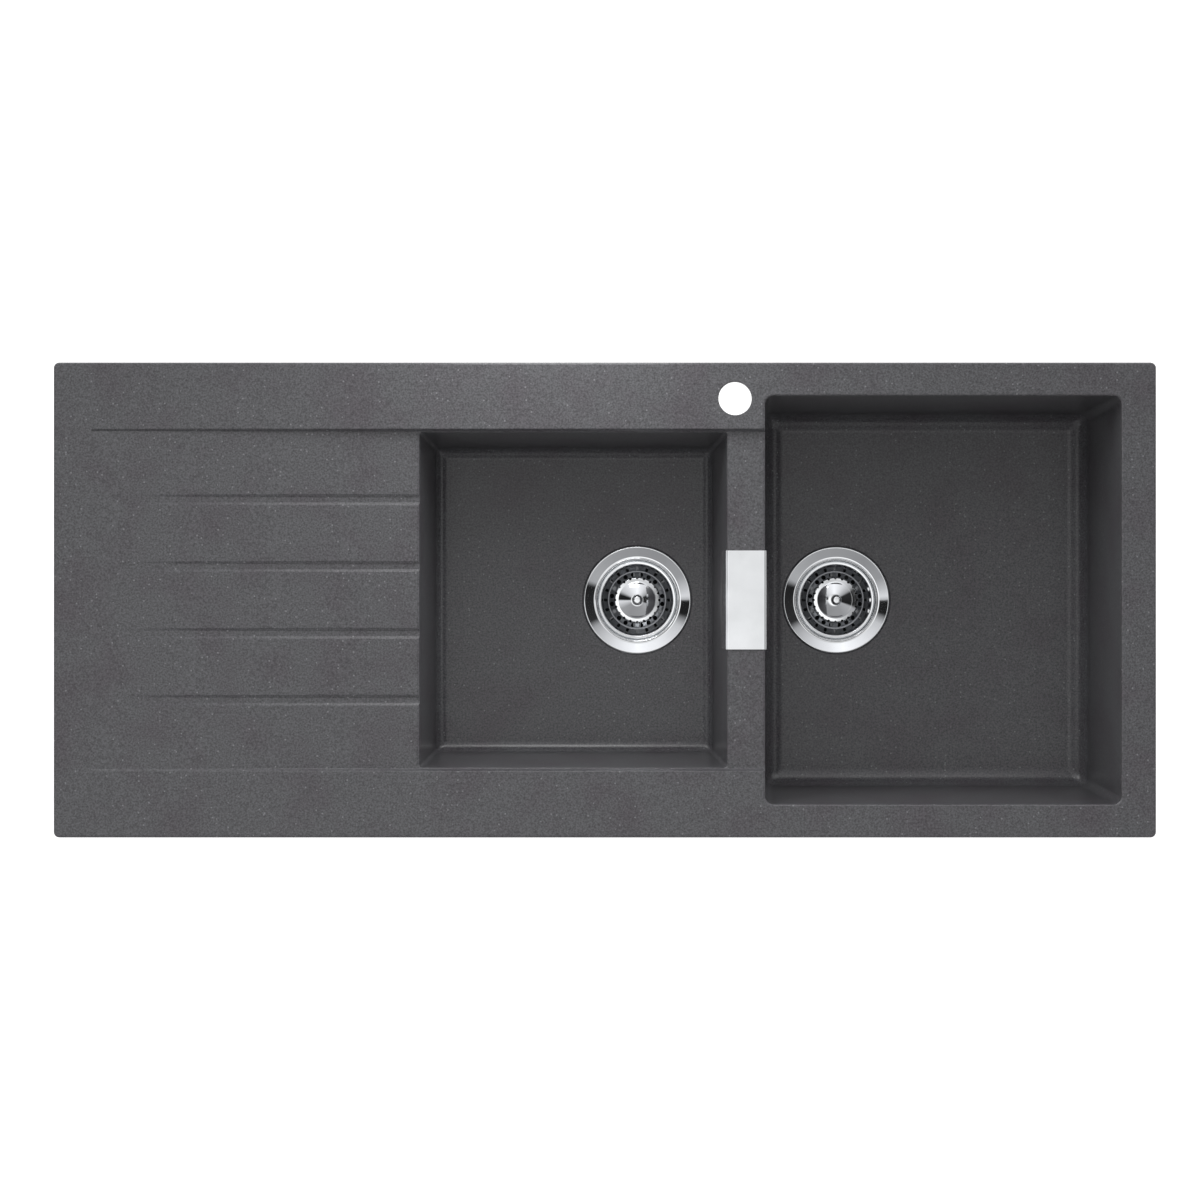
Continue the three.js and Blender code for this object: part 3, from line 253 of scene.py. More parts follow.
# %% [markdown]
# What hangs under the bowls is injection moulded polypropylene, black with carbon pigment. Its mould
# was spark eroded, which leaves a fine matt grain, and the melt's flow shows as very faint clouds.

# %% Moulded plastic
FLOW_MM = 30
SPARK_MM = 0.8

PLASTIC = two_toned("Polypropylene, moulded", (FLOW_MM, 3, 0.5), (0.4, 0.62), ("#242528", "#2e2f31"),
                    (SPARK_MM, 2, 0.5), (0.3, 0.06), Roughness=0.46, IOR=1.49)

# %% [markdown]
# The gaskets and the stopper rings are moulded rubber, blacker and duller than the plastic, with
# a faint grey bloom. The seals that the fitter presses flat are closed-cell foam: grey, quite matt,
# and full of cut bubbles about a millimetre wide.

# %% Rubber and foam
BLOOM_MM = 6
MOULD_GRAIN_MM = 1.1
BUBBLE_MM = 1.4

RUBBER = two_toned("Rubber, moulded", (BLOOM_MM, 4, 0.6), (0.45, 0.7), ("#131314", "#202021"),
                   (MOULD_GRAIN_MM, 3, 0.5), (0.3, 0.08), Roughness=0.68, IOR=1.52)

FOAM, tree = blank_material("Foam, closed cell")
place = add(tree, "ShaderNodeTexCoord")["Object"]
bubbles = add(tree, "ShaderNodeTexVoronoi", {"Vector": place, "Scale": per_mm(BUBBLE_MM)})["Distance"]
share = add(tree, "ShaderNodeMapRange", {"Value": bubbles, "From Min": 0.1, "From Max": 0.6})[0]
grey = add(tree, "ShaderNodeMix", {0: share, 6: linear("#454547"), 7: linear("#2f2f30")}, data_type="RGBA")[2]
pores = add(tree, "ShaderNodeBump", {"Strength": 0.5, "Distance": 0.2 * MM, "Height": bubbles})[0]
foam = {"Base Color": grey, "Roughness": 0.92, "IOR": 1.45, "Normal": pores}
add(tree, "ShaderNodeOutputMaterial", {"Surface": add(tree, "ShaderNodeBsdfPrincipled", foam)[0]})
print(FOAM.name, "has bubbles", BUBBLE_MM, "mm wide")

# %% [markdown]
# Most pieces are turned, cast or pressed, so a few mesh helpers are enough. A turned piece is
# a closed section swept round an upright axis. A cast hollow is a skin over a stack of level
# outlines, and the same skin, closed on itself, makes a ring that follows the rim.

# %% Meshes from sections and outlines
def mesh_object(name, points, faces):
    """A mesh from points in millimetres, with its faces turned outwards."""
    mesh = bpy.data.meshes.new(name)
    mesh.from_pydata([Vector(point) * MM for point in points], [], faces)
    shell = bmesh.new()
    shell.from_mesh(mesh)
    bmesh.ops.remove_doubles(shell, verts=shell.verts, dist=1e-4 * MM)
    bmesh.ops.recalc_face_normals(shell, faces=shell.faces)
    shell.to_mesh(mesh)
    shell.free()
    made = bpy.data.objects.new(name, mesh)
    bpy.context.scene.collection.objects.link(made)
    return made


ROUND, FINE, SMALL_ROUND, TINY = 96, 128, 48, 32  # steps round an axis


def turned(name, section, steps=ROUND, at=(0, 0, 0)):
    """A closed section of radius and height, swept round the upright axis through a point."""
    points, columns, faces = [], [], []
    for radius, height in section:
        around = steps if radius > 1e-6 else 1
        columns.append([len(points) + i % around for i in range(steps)])
        for i in range(around):
            angle = 2 * math.pi * i / steps
            x, y = radius * math.cos(angle), radius * math.sin(angle)
            points.append((at[0] + x, at[1] + y, at[2] + height))
    for a, b in zip(columns, columns[1:] + columns[:1]):
        for i in range(steps):
            j = (i + 1) % steps
            corners = list(dict.fromkeys([a[i], a[j], b[j], b[i]]))
            if len(corners) > 2:
                faces.append(corners)
    return mesh_object(name, points, faces)


def lofted(name, outlines, closed=False):
    """A skin over outlines with the same number of points; it has two ends unless it is closed."""
    count, loops = len(outlines[0]), len(outlines)
    points = [point for outline in outlines for point in outline]
    faces = [] if closed else [list(range(count)), list(range(len(points) - count, len(points)))]
    for k in range(loops if closed else loops - 1):
        here, there = k * count, (k + 1) % loops * count
        for i in range(count):
            j = (i + 1) % count
            faces.append([here + i, here + j, there + j, there + i])
    return mesh_object(name, points, faces)


def pushed(name, outline, half):
    """An outline of X and Z, pushed out to both sides of the plane where Y is nought."""
    return lofted(name, [[(x, y, z) for x, z in outline] for y in (-half, half)])


def raised(name, outline, z0, z1):
    """An outline in plan, raised from one height to another."""
    return lofted(name, [[(x, y, z) for x, y in outline] for z in (z0, z1)])


def bridged(name, outline, x0, x1):
    """An outline of Y and Z, drawn out along X."""
    return lofted(name, [[(x, y, z) for y, z in outline] for x in (x0, x1)])


print("A turned piece has", ROUND, "steps, or", FINE, "where it is seen close")

# %% [markdown]
# A press or a mould rounds every corner, so the corners of a section are rounded before it is used.
# A pressed sheet is given by its upper face alone: the lower face lies one thickness away, and each
# face is rounded by itself, so that even a tight bend keeps a clean section.

# %% Rounded sections and pressed sheet
def eased(line, radius, steps=5, closed=False):
    """A line with a curve of about the given radius at each corner."""
    around = [line[-1], *line, line[0]] if closed else line
    made = [] if closed else [line[0]]
    for before, corner, after in zip(around, around[1:], around[2:]):
        to, back, on = Vector(corner), Vector(before), Vector(after)
        reach = min(radius, (back - to).length * 0.48, (on - to).length * 0.48)
        start = to + (back - to).normalized() * reach
        end = to + (on - to).normalized() * reach
        for i in range(steps + 1):
            t = i / steps
            made.append(tuple(start * (1 - t) ** 2 + to * 2 * t * (1 - t) + end * t ** 2))
    return made if closed else [*made, line[-1]]


def sheet_section(line, thickness, radius):
    """The closed section of a pressed sheet whose upper face is the line, which runs inwards."""
    line = [Vector(point) for point in line]
    sides = [Vector((a.y - b.y, b.x - a.x)).normalized() for a, b in zip(line, line[1:])]
    under = []
    for point, before, after in zip(line, [sides[0], *sides], [*sides, sides[-1]]):
        middle = (before + after).normalized()
        under.append(point + middle * thickness / middle.dot(before))
    return [*reversed(eased(under, radius)), *eased(line, radius)]


def bar_section(inner, outer, low, high, radius):
    """A rounded rectangle of radius and height, for rings and bars."""
    return eased([(inner, low), (outer, low), (outer, high), (inner, high)], radius, 4, closed=True)


def obround(half_length, half_width, steps=8):
    """A flat slot's outline with round ends."""
    made = []
    for side in (1, -1):
        for i in range(steps + 1):
            angle = math.pi * (i / steps - side / 2)
            along = side * (half_length - half_width) + half_width * math.cos(angle)
            made.append((along, half_width * math.sin(angle)))
    return made


print("A rounded rectangle takes", len(bar_section(1, 9, 0, 4, 1)), "points")

# %% [markdown]
# Pieces that are cut or joined use the Boolean modifier with its Manifold solver, which is exact and
# fast on closed meshes. The result is written back into the mesh, and the tool object is removed.
# Smooth shading with sharp edges kept, and normals weighted by face area, makes large flat faces
# look flat and small curved ones look round.

# %% Cutting, joining, shading and handing over
def settle(piece):
    """Writes what the modifiers make into the piece's own mesh."""
    graph = bpy.context.evaluated_depsgraph_get()
    made = bpy.data.meshes.new_from_object(piece.evaluated_get(graph), depsgraph=graph)
    piece.modifiers.clear()
    piece.data = made
    return piece


def work(piece, operation, tools):
    """Joins, cuts or intersects the piece with each tool, and removes the tools."""
    for tool in tools:
        modifier = piece.modifiers.new("Work", "BOOLEAN")
        modifier.operation, modifier.solver, modifier.object = operation, "MANIFOLD", tool
    settle(piece)
    for tool in tools:
        bpy.data.objects.remove(tool)
    return piece


# An edge that turns by more than this many degrees stays an edge in the shading.
CAST, THREADED, CRISP, PUNCHED, TUBULAR, SOFT = 30, 35, 40, 42, 45, 50


def polish(piece, sharp_degrees, edge=0.0):
    """Rounds the sharp edges if asked, and shades the piece."""
    if edge:
        modifier = piece.modifiers.new("Edges", "BEVEL")
        modifier.width, modifier.segments = edge * MM, 2
        modifier.limit_method, modifier.angle_limit = "ANGLE", math.radians(sharp_degrees)
        settle(piece)
    piece.data.shade_smooth()
    piece.data.set_sharp_from_angle(angle=math.radians(sharp_degrees))
    weighted = piece.modifiers.new("Weighted", "WEIGHTED_NORMAL")
    weighted.keep_sharp = True
    return settle(piece)


def moved(piece, place, turn=None):
    """Turns the mesh, then moves it, so that the object itself stays at the origin."""
    matrix = Matrix.Translation(Vector(place) * MM)
    piece.data.transform(matrix @ turn if turn else matrix)
    return piece


def hand_over(piece, body, material, slot, *nodes):
    """Gives the piece its finish, hides the nodes that it stands for, and ties it to a body."""
    piece.data.materials.clear()
    piece.data.materials.append(material)
    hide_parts(*nodes)
    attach(piece, body)
    print(piece.name, "has", len(piece.data.polygons), "faces")
    return piece


print("A casting keeps edges over", CAST, "degrees, and rubber only those over", SOFT)

# %% [markdown]
# Grooves, clip bosses, screws, perforations and grips all repeat along a line or round an axis.
# One Geometry Nodes tree does both: it puts copies of a tool at steps along a line, each turned
# a little more than the last, and cuts them out of the piece, joins them to it or lays them beside it.
# The tree is built for each of the three ways, and a function sets its inputs by their identifiers.

# %% The repeating tree
def repeating_tree(way):
    """A tree that repeats a tool; way is DIFFERENCE, UNION or BESIDE."""
    tree = bpy.data.node_groups.new("Repeat, " + way.lower(), "GeometryNodeTree")
    face = tree.interface
    inputs = {"Geometry": "Geometry", "Tool": "Object", "Count": "Int", "Start": "Vector", "Step": "Vector",
              "First turn": "Float", "Turn": "Float", "Material": "Material"}
    for name, kind in inputs.items():
        face.new_socket(name, in_out="INPUT", socket_type="NodeSocket" + kind)
    face.new_socket("Geometry", in_out="OUTPUT", socket_type="NodeSocketGeometry")
    given = add(tree, "NodeGroupInput")
    index = add(tree, "GeometryNodeInputIndex")[0]
    along = add(tree, "ShaderNodeVectorMath", {0: given["Step"], "Scale": index}, operation="SCALE")[0]
    place = add(tree, "ShaderNodeVectorMath", {0: given["Start"], 1: along}, operation="ADD")[0]
    turns = {0: given["Turn"], 1: index, 2: given["First turn"]}
    angle = add(tree, "ShaderNodeMath", turns, operation="MULTIPLY_ADD")[0]
    angles = add(tree, "ShaderNodeCombineXYZ", {"Z": angle})[0]
    rotation = add(tree, "FunctionNodeEulerToRotation", {0: angles})[0]
    spots = add(tree, "GeometryNodePoints", {"Count": given["Count"], "Position": place})[0]
    tool = add(tree, "GeometryNodeObjectInfo", {"Object": given["Tool"]})["Geometry"]
    laid = {"Points": spots, "Instance": tool, "Rotation": rotation}
    copies = add(tree, "GeometryNodeInstanceOnPoints", laid)[0]
    made = add(tree, "GeometryNodeRealizeInstances", {0: copies})[0]
    if way == "BESIDE":
        both = add(tree, "GeometryNodeJoinGeometry", {0: given["Geometry"]})[0]
        tree.links.new(made, both.node.inputs[0])
    else:
        both = add(tree, "GeometryNodeMeshBoolean", {"Mesh 2": made}, operation=way, solver="MANIFOLD")[0]
        tree.links.new(given["Geometry"], both.node.inputs["Mesh 1" if way == "DIFFERENCE" else "Mesh 2"])
    real = add(tree, "GeometryNodeRealizeInstances", {0: both})[0]
    finished = add(tree, "GeometryNodeSetMaterial", {"Geometry": real, "Material": given["Material"]})[0]
    add(tree, "NodeGroupOutput", {0: finished})
    return tree


TREES = {way: repeating_tree(way) for way in ("DIFFERENCE", "UNION", "BESIDE")}


def repeat(piece, way, tool, count, material, start=(0, 0, 0), step=(0, 0, 0), first=0.0, turn=0.0):
    """Repeats a tool on a piece, lengths in millimetres and turns in degrees, and removes the tool."""
    modifier = piece.modifiers.new("Repeat", "NODES")
    modifier.node_group = TREES[way]
    known = {item.name: item.identifier for item in TREES[way].interface.items_tree if item.in_out == "INPUT"}
    values = {"Tool": tool, "Count": count, "Start": [v * MM for v in start], "Step": [v * MM for v in step],
              "First turn": math.radians(first), "Turn": math.radians(turn), "Material": material}
    for name, value in values.items():
        modifier[known[name]] = value
    settle(piece)
    bpy.data.objects.remove(tool)
    return piece


print("Trees:", [tree.name for tree in TREES.values()])

# %% [markdown]
# The casting's outline and the wastes' places come from the frame; its other sizes are repeated here.
# Each bowl leans in a little from rim to floor, so that it leaves the mould, and it meets its floor
# in a fillet: a wide one in the large bowl, and a tight one in the small bowl.

# %% Sizes of the casting
low, high = (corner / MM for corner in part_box("sink_body"))
HALF_LENGTH, HALF_WIDTH, RIM_TOP = high.x, high.y, high.z
RIM_CORNER_R = 6
RIM_EDGE_R = 2.5
SKIRT_INSET = 12
SKIRT_WALL = 8
SKIRT_FOOT = -14
WALL = 9
FLOOR_THICKNESS = 11
BOWL_EDGE_R = 2
DIVIDER = 39.6
PAN_START = 40 - HALF_LENGTH
PAN_DEPTH = 8
PAN_HALF_WIDTH = 180.5
PAN_SIDE = 3.5
PAN_FLOOR = RIM_TOP - PAN_DEPTH
FLANGE_CREST = 0.5  # a waste's flange stands this far above the bowl's floor
FLANGE_R = 59.5
PAST = 2  # how far a tool runs past the face that it opens
TOUCH = 0.3  # between pieces that bear on each other


def bowl_of(prefix, x0, x1, half_width, top, corner, draft, fillet, side_edge):
    """The sizes of one bowl; its waste's axis and its floor come from the frame."""
    flange_low, flange_high = (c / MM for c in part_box(prefix + "_waste_flange"))
    return {"x0": x0, "x1": x1, "half_width": half_width, "top": top, "corner": corner, "draft": draft,
            "fillet": fillet, "side_edge": side_edge, "floor": flange_high.z - FLANGE_CREST,
            "waste_x": (flange_low.x + flange_high.x) / 2}


main_right = HALF_LENGTH - 36.5
main_left = main_right - 375
small_right = main_left - DIVIDER
small_left = small_right - 324.5
MAIN = bowl_of("main", main_left, main_right, 215, RIM_TOP, 9, 10, 20, BOWL_EDGE_R)
SMALL = bowl_of("small", small_left, small_right, PAN_HALF_WIDTH - PAN_SIDE, PAN_FLOOR, 4, 11, 12, 0)
BOWLS = {"main": MAIN, "small": SMALL}
print("Bowl floors at", MAIN["floor"], SMALL["floor"], "and wastes at", MAIN["waste_x"], SMALL["waste_x"])

# %% [markdown]
# Everything cast is a stack of level outlines, and three helpers draw them: a rectangle with rounded
# corners, a bowl's outline at a height, and the rim's outline drawn in.

# %% Level outlines
def lean(bowl, z):
    """How far a bowl's wall has leaned in at height z."""
    return bowl["draft"] * (bowl["top"] - z) / (bowl["top"] - bowl["floor"])


def ring(x0, y0, x1, y1, radius, z, steps=8):
    """A level rectangle with rounded corners."""
    r = max(radius, 0.4)
    made = []
    left, right, front, rear = x0 + r, x1 - r, y0 + r, y1 - r
    for quarter, (cx, cy) in enumerate([(right, rear), (left, rear), (left, front), (right, front)]):
        for i in range(steps + 1):
            angle = (quarter + i / steps) * math.pi / 2
            made.append((cx + r * math.cos(angle), cy + r * math.sin(angle), z))
    return made


def bowl_ring(bowl, dx, dy, radius, z):
    """A bowl's outline, grown by dx and dy."""
    half = bowl["half_width"] + dy
    return ring(bowl["x0"] - dx, -half, bowl["x1"] + dx, half, radius, z)


def rim_ring(inset, radius, z):
    """The sink's outline, drawn in by inset."""
    return ring(inset - HALF_LENGTH, inset - HALF_WIDTH, HALF_LENGTH - inset, HALF_WIDTH - inset, radius, z)


print("The rim is", round(2 * HALF_LENGTH), "by", round(2 * HALF_WIDTH), "mm")

# %% [markdown]
# A bowl is cast as a hollow with a wall of even thickness, so both its inside and its outside are skins
# over level outlines. The inside starts at the floor, climbs the fillet on a quarter circle, follows
# the leaning wall and rolls over at the rim.

# %% Bowl hollows and shells
FILLET_STEPS = 12
EDGE_STEPS = 5
CORNER_AT_FLOOR = 0.3  # share of a bowl's corner radius that is left at its floor


def quarter_turns(steps):
    """Angles from nought to a right angle."""
    return [i / steps * math.pi / 2 for i in range(steps + 1)]


def bowl_hollow(bowl):
    """What is cut out of the casting to open a bowl."""
    outlines = []
    for angle in quarter_turns(FILLET_STEPS):
        z = bowl["floor"] + bowl["fillet"] * (1 - math.cos(angle))
        inset = lean(bowl, z) + bowl["fillet"] * (1 - math.sin(angle))
        corner = bowl["corner"] * (CORNER_AT_FLOOR + (1 - CORNER_AT_FLOOR) * math.sin(angle))
        outlines.append(bowl_ring(bowl, -inset, -inset, corner, z))
    for angle in quarter_turns(EDGE_STEPS):
        z = bowl["top"] - BOWL_EDGE_R * (1 - math.sin(angle))
        flare = 1 - math.cos(angle)
        side = bowl["side_edge"] * flare
        across = BOWL_EDGE_R * flare - lean(bowl, z)
        outlines.append(bowl_ring(bowl, across, side - lean(bowl, z), bowl["corner"] + side, z))
    edge = bowl["side_edge"]
    outlines.append(bowl_ring(bowl, BOWL_EDGE_R, edge, bowl["corner"] + edge, bowl["top"] + PAST / 2))
    return lofted("hollow", outlines)


def bowl_shell(bowl):
    """The outside of a bowl, one wall thickness round its inside."""
    bottom, radius = bowl["floor"] - FLOOR_THICKNESS, bowl["fillet"] + WALL
    outlines = []
    for angle in quarter_turns(FILLET_STEPS):
        z = bottom + radius * (1 - math.cos(angle))
        grow = WALL - lean(bowl, z) - radius * (1 - math.sin(angle))
        outlines.append(bowl_ring(bowl, grow, grow, bowl["corner"] + WALL, z))
    grow = WALL - lean(bowl, RIM_TOP / 2)
    outlines.append(bowl_ring(bowl, grow, grow, bowl["corner"] + WALL, RIM_TOP / 2))
    return lofted("shell", outlines)


print("The bowls' walls are", WALL, "mm thick and their floors", FLOOR_THICKNESS)

# %% [markdown]
# The drainer is a shallow pan that falls towards the small bowl, so its sides grow from nothing to
# 8 mm. Four grooves in it lead the water. Each groove has a narrow flat floor between soft sides, and
# fades in from the left. One groove is a tool, and the repeating tree cuts it four times at its pitch.

# %% The drainer's pan and grooves
GROOVE_COUNT = 4
GROOVE_PITCH = 70.4
GROOVE_HALF_WIDTH = 6.2
GROOVE_SIDE = 4
GROOVE_DEPTH = 2.4
GROOVE_LEAD = 30
GROOVE_STEPS = 12
GROOVE_FADE = 0.7  # under 1, a groove deepens fastest where it begins

pan_edge = SMALL["x0"] + 2 * BOWL_EDGE_R


def pan_depth(x):
    """How deep the pan lies under the rim at x."""
    return min(PAN_DEPTH * (x - PAN_START) / (pan_edge - PAN_START), PAN_DEPTH)


def trough(x, half_width, side, top, depth, steps=8):
    """The cross-section of a trough whose sides fall in a soft S, closed above its top."""
    rear = [(x, half_width, top + PAST / 2)]
    for i in range(steps + 1):
        t = i / steps
        rear.append((x, half_width - side * t, top - depth * t * t * (3 - 2 * t)))
    return rear + [(x, -y, z) for x, y, z in reversed(rear)]


def pan_tool():
    """The whole pan, from where it starts to past the divider."""
    places = (PAN_START, pan_edge, MAIN["x0"] + WALL)
    return lofted("pan", [trough(x, PAN_HALF_WIDTH, PAN_SIDE, RIM_TOP, pan_depth(x)) for x in places])


def groove_tool():
    """A groove, as deep as its distance from the drainer's left end lets it be."""
    start = PAN_START + GROOVE_LEAD
    outlines = []
    for i in range(GROOVE_STEPS + 1):
        t = i / GROOVE_STEPS
        x = start + (pan_edge - start) * t
        depth = max(GROOVE_DEPTH * t ** GROOVE_FADE, 0.01)
        outlines.append(trough(x, GROOVE_HALF_WIDTH, GROOVE_SIDE, RIM_TOP - pan_depth(x), depth))
    end = pan_edge + 2 * GROOVE_HALF_WIDTH
    outlines.append(trough(end, GROOVE_HALF_WIDTH, GROOVE_SIDE, PAN_FLOOR, GROOVE_DEPTH))
    return lofted("groove", outlines)


print("The pan is", round(pan_edge - PAN_START), "mm long")

# %% [markdown]
# The rest of the casting: the rim plate with its rolled edge, the skirt that drops into the
# worktop's cut-out, the pan's underside, the bosses under the wastes, and the bosses that
# take the clips' screws. All are joined first, and everything hollow is cut afterwards, because a cut
# that comes last can't be filled again by a later piece.

# %% Outer forms of the casting
SKIRT_EDGE_R = 1.2
WASTE_BOSS_R = 66
WASTE_BOSS = 6
WASTE_BOSS_EDGE_R = 1.5
CLIP_BOSS_R = 7
CLIP_X = 450
CLIP_INSET = SKIRT_INSET + CLIP_BOSS_R
CLIP_END_X = HALF_LENGTH - CLIP_INSET
CLIP_SIDE_Y = HALF_WIDTH - CLIP_INSET
CLIP_ROWS = (((-CLIP_X, -CLIP_SIDE_Y, 0), (CLIP_X, 0, 0), 3), ((-CLIP_X, CLIP_SIDE_Y, 0), (CLIP_X, 0, 0), 3),
             ((-CLIP_END_X, 0, 0), (2 * CLIP_END_X, 0, 0), 2))


def block(name, x0, y0, z0, x1, y1, z1):
    """A plain block, used only as a tool."""
    return raised(name, [(x0, y0), (x1, y0), (x1, y1), (x0, y1)], z0, z1)


def rod(name, radius, z0, z1, at=(0, 0, 0), steps=SMALL_ROUND):
    """A plain upright rod, used as a tool or inside a casting."""
    return turned(name, [(0, z0), (radius, z0), (radius, z1), (0, z1)], steps, at)


def rim_plate():
    outlines = [rim_ring(0.4, RIM_CORNER_R, 0), rim_ring(0, RIM_CORNER_R, 0.5)]
    for angle in quarter_turns(EDGE_STEPS):
        inset = RIM_EDGE_R * (1 - math.cos(angle))
        outlines.append(rim_ring(inset, RIM_CORNER_R - inset, RIM_TOP - RIM_EDGE_R * (1 - math.sin(angle))))
    return lofted("sink_casting", outlines)


def frame_bar(name, inset, width, z0, z1, radius):
    """A closed bar that follows the rim at an inset."""
    section = bar_section(inset, inset + width, z0, z1, radius)
    return lofted(name, [rim_ring(inward, RIM_CORNER_R, z) for inward, z in section], closed=True)


def pan_underside():
    end = MAIN["x0"] - WALL / 2
    under, middle = PAN_FLOOR - WALL, RIM_TOP / 2
    outline = [(PAN_START - WALL, middle), (PAN_START, RIM_TOP - WALL), (SMALL["x0"], under), (end, under),
               (end, middle)]
    return pushed("underside", outline, PAN_HALF_WIDTH + WALL / 2)


def waste_boss(bowl):
    """The thicker floor round a waste."""
    foot = bowl["floor"] - FLOOR_THICKNESS - WASTE_BOSS
    line = [(WASTE_BOSS_R, bowl["floor"] - FLOOR_THICKNESS / 2), (WASTE_BOSS_R, foot), (0, foot)]
    return turned("boss", [(0, line[0][1]), *eased(line, WASTE_BOSS_EDGE_R)], at=(bowl["waste_x"], 0, 0))


def along_clips(piece, way, make, material):
    """Repeats what make() returns along each of the three rows of clips."""
    for start, step, count in CLIP_ROWS:
        repeat(piece, way, make(), count, material, start, step)


casting = rim_plate()
skirt = frame_bar("skirt", SKIRT_INSET, SKIRT_WALL, SKIRT_FOOT, RIM_TOP / 2, SKIRT_EDGE_R)
work(casting, "UNION", [skirt, pan_underside(), bowl_shell(MAIN), bowl_shell(SMALL), waste_boss(MAIN),
                        waste_boss(SMALL)])
along_clips(casting, "UNION", lambda: rod("clip boss", CLIP_BOSS_R, SKIRT_FOOT, RIM_TOP / 2), GRANITE)
print("Casting before the cuts:", len(casting.data.polygons), "faces")

# %% [markdown]
# The cuts come last: the pan and its grooves, both bowls, the wastes' stepped seats, the tap hole with
# its relief below, the overflow slots, the sealing strip's groove, and a hole in each clip boss.

# %% Hollows, seats and holes
TAP_HOLE_R = 17.5
TAP_HOLE_EDGE = 0.8
TAP_HOLE = (MAIN["x0"] - 31.5, HALF_WIDTH - 38, 0)
TAP_RELIEF_R = 24
SEAT_DROP = 8
SEAT_R = 49.75
WASTE_HOLE_R = 45.5
LIP_R = FLANGE_R + 0.6
LIP_DROP = 2.8
LIP_EDGE = 0.6
OVERFLOW_Z = PAN_FLOOR - 22
OVERFLOW_HALF_LENGTH = 32
OVERFLOW_HALF_HEIGHT = 5
CLIP_HOLE_R = 2.5
CLIP_BITE = 11
STRIP_INSET = 2.5
STRIP_WIDTH = 5
STRIP_HEIGHT = 1.2


def waste_seat(bowl):
    """The stepped recess and the hole that take a waste."""
    below, floor = -FLOOR_THICKNESS - WASTE_BOSS - PAST, bowl["floor"]
    edge = LIP_R + LIP_EDGE
    line = [(0, below), (WASTE_HOLE_R, below), (WASTE_HOLE_R, -SEAT_DROP), (SEAT_R, -SEAT_DROP),
            (LIP_R, -LIP_DROP), (LIP_R, -0.5), (edge, 0), (edge, PAST), (0, PAST)]
    return turned("seat", line, FINE, (bowl["waste_x"], 0, floor))


def tap_hole():
    line = [(0, SKIRT_FOOT - PAST), (TAP_RELIEF_R, SKIRT_FOOT - PAST), (TAP_RELIEF_R, 0), (TAP_HOLE_R, 0),
            (TAP_HOLE_R, RIM_TOP - TAP_HOLE_EDGE), (TAP_HOLE_R + TAP_HOLE_EDGE, RIM_TOP),
            (TAP_HOLE_R + TAP_HOLE_EDGE, RIM_TOP + PAST), (0, RIM_TOP + PAST)]
    return turned("tap hole", line, at=TAP_HOLE)


def overflow_slot():
    """A level slot with round ends through both walls of the divider."""
    reach = MAIN["draft"] + SMALL["draft"]
    outline = [(y, OVERFLOW_Z + z) for y, z in obround(OVERFLOW_HALF_LENGTH, OVERFLOW_HALF_HEIGHT)]
    return bridged("slot", outline, SMALL["x1"] - reach, MAIN["x0"] + reach)


def divider_shoulder():
    """Rounds the divider's edge, where the pan ends at the large bowl."""
    wall, r = MAIN["x0"] + lean(MAIN, PAN_FLOOR), BOWL_EDGE_R
    arc = [(wall - r + r * math.sin(a), PAN_FLOOR - r + r * math.cos(a)) for a in quarter_turns(EDGE_STEPS)]
    over, outside = PAN_FLOOR + PAST, wall + PAST
    outline = [(wall - r, over), *arc, (outside, PAN_FLOOR - r), (outside, over)]
    return pushed("shoulder", outline, SMALL["half_width"])


def clip_hole():
    return rod("clip hole", CLIP_HOLE_R, SKIRT_FOOT - PAST, SKIRT_FOOT + CLIP_BITE, steps=24)


def strip_groove():
    """The groove in the rim's underside that holds the sealing strip."""
    return frame_bar("strip", STRIP_INSET - TOUCH, STRIP_WIDTH + 2 * TOUCH, -PAST, STRIP_HEIGHT + TOUCH, 0.2)


work(casting, "DIFFERENCE", [pan_tool()])
first_groove = (0, -GROOVE_PITCH * (GROOVE_COUNT - 1) / 2, 0)
repeat(casting, "DIFFERENCE", groove_tool(), GROOVE_COUNT, GRANITE, first_groove, (0, GROOVE_PITCH, 0))
work(casting, "DIFFERENCE", [bowl_hollow(MAIN), bowl_hollow(SMALL), divider_shoulder(), waste_seat(MAIN),
                             waste_seat(SMALL), tap_hole(), overflow_slot(), strip_groove()])
along_clips(casting, "DIFFERENCE", clip_hole, GRANITE)
hand_over(polish(casting, CAST), "sink", GRANITE, "granite_composite", "sink_body")

# %% [markdown]
# A foam strip lies in a groove in the rim's underside and seals the rim to the worktop.

# %% Rim seal
STRIP_EDGE_R = 0.4

seal = frame_bar("rim_strip", STRIP_INSET, STRIP_WIDTH, 0, STRIP_HEIGHT, STRIP_EDGE_R)
hand_over(polish(seal, SOFT), "sink", FOAM, "sealing_foam", "rim_seal")

# %% [markdown]
# The flange is one round blank of steel, drawn down in steps: a rolled edge that lies on the bowl's
# floor, a flat cone, a bead, the seat for the stopper, and a cup with six windows in its floor. It is
# turned from its sheet section, and one window is cut six times. All heights are from the bowl's floor.

# %% Pressed flanges
STEEL_SHEET = 1.2
FLANGE_BEND_R = 1.0
WINDOW_COUNT = 6
ROLLED_EDGE = 1.4
CONE_R = 48.2
CONE_DROP = 3
CUP_R = 43.7
CUP_MOUTH = 0.8
LEDGE_DROP = 11.4
LEDGE_FALL = 1
LEDGE = 2.8
LOWER_R = CUP_R - LEDGE
CUP_FLOOR = -33
CUP_FOOT = 3
CUP_HOLE_R = 3.1
HUB_R = 13
HALF_SPOKE = 4
BEAD_R = 45.7
BEAD_HALF = 0.9
BEAD = 0.5

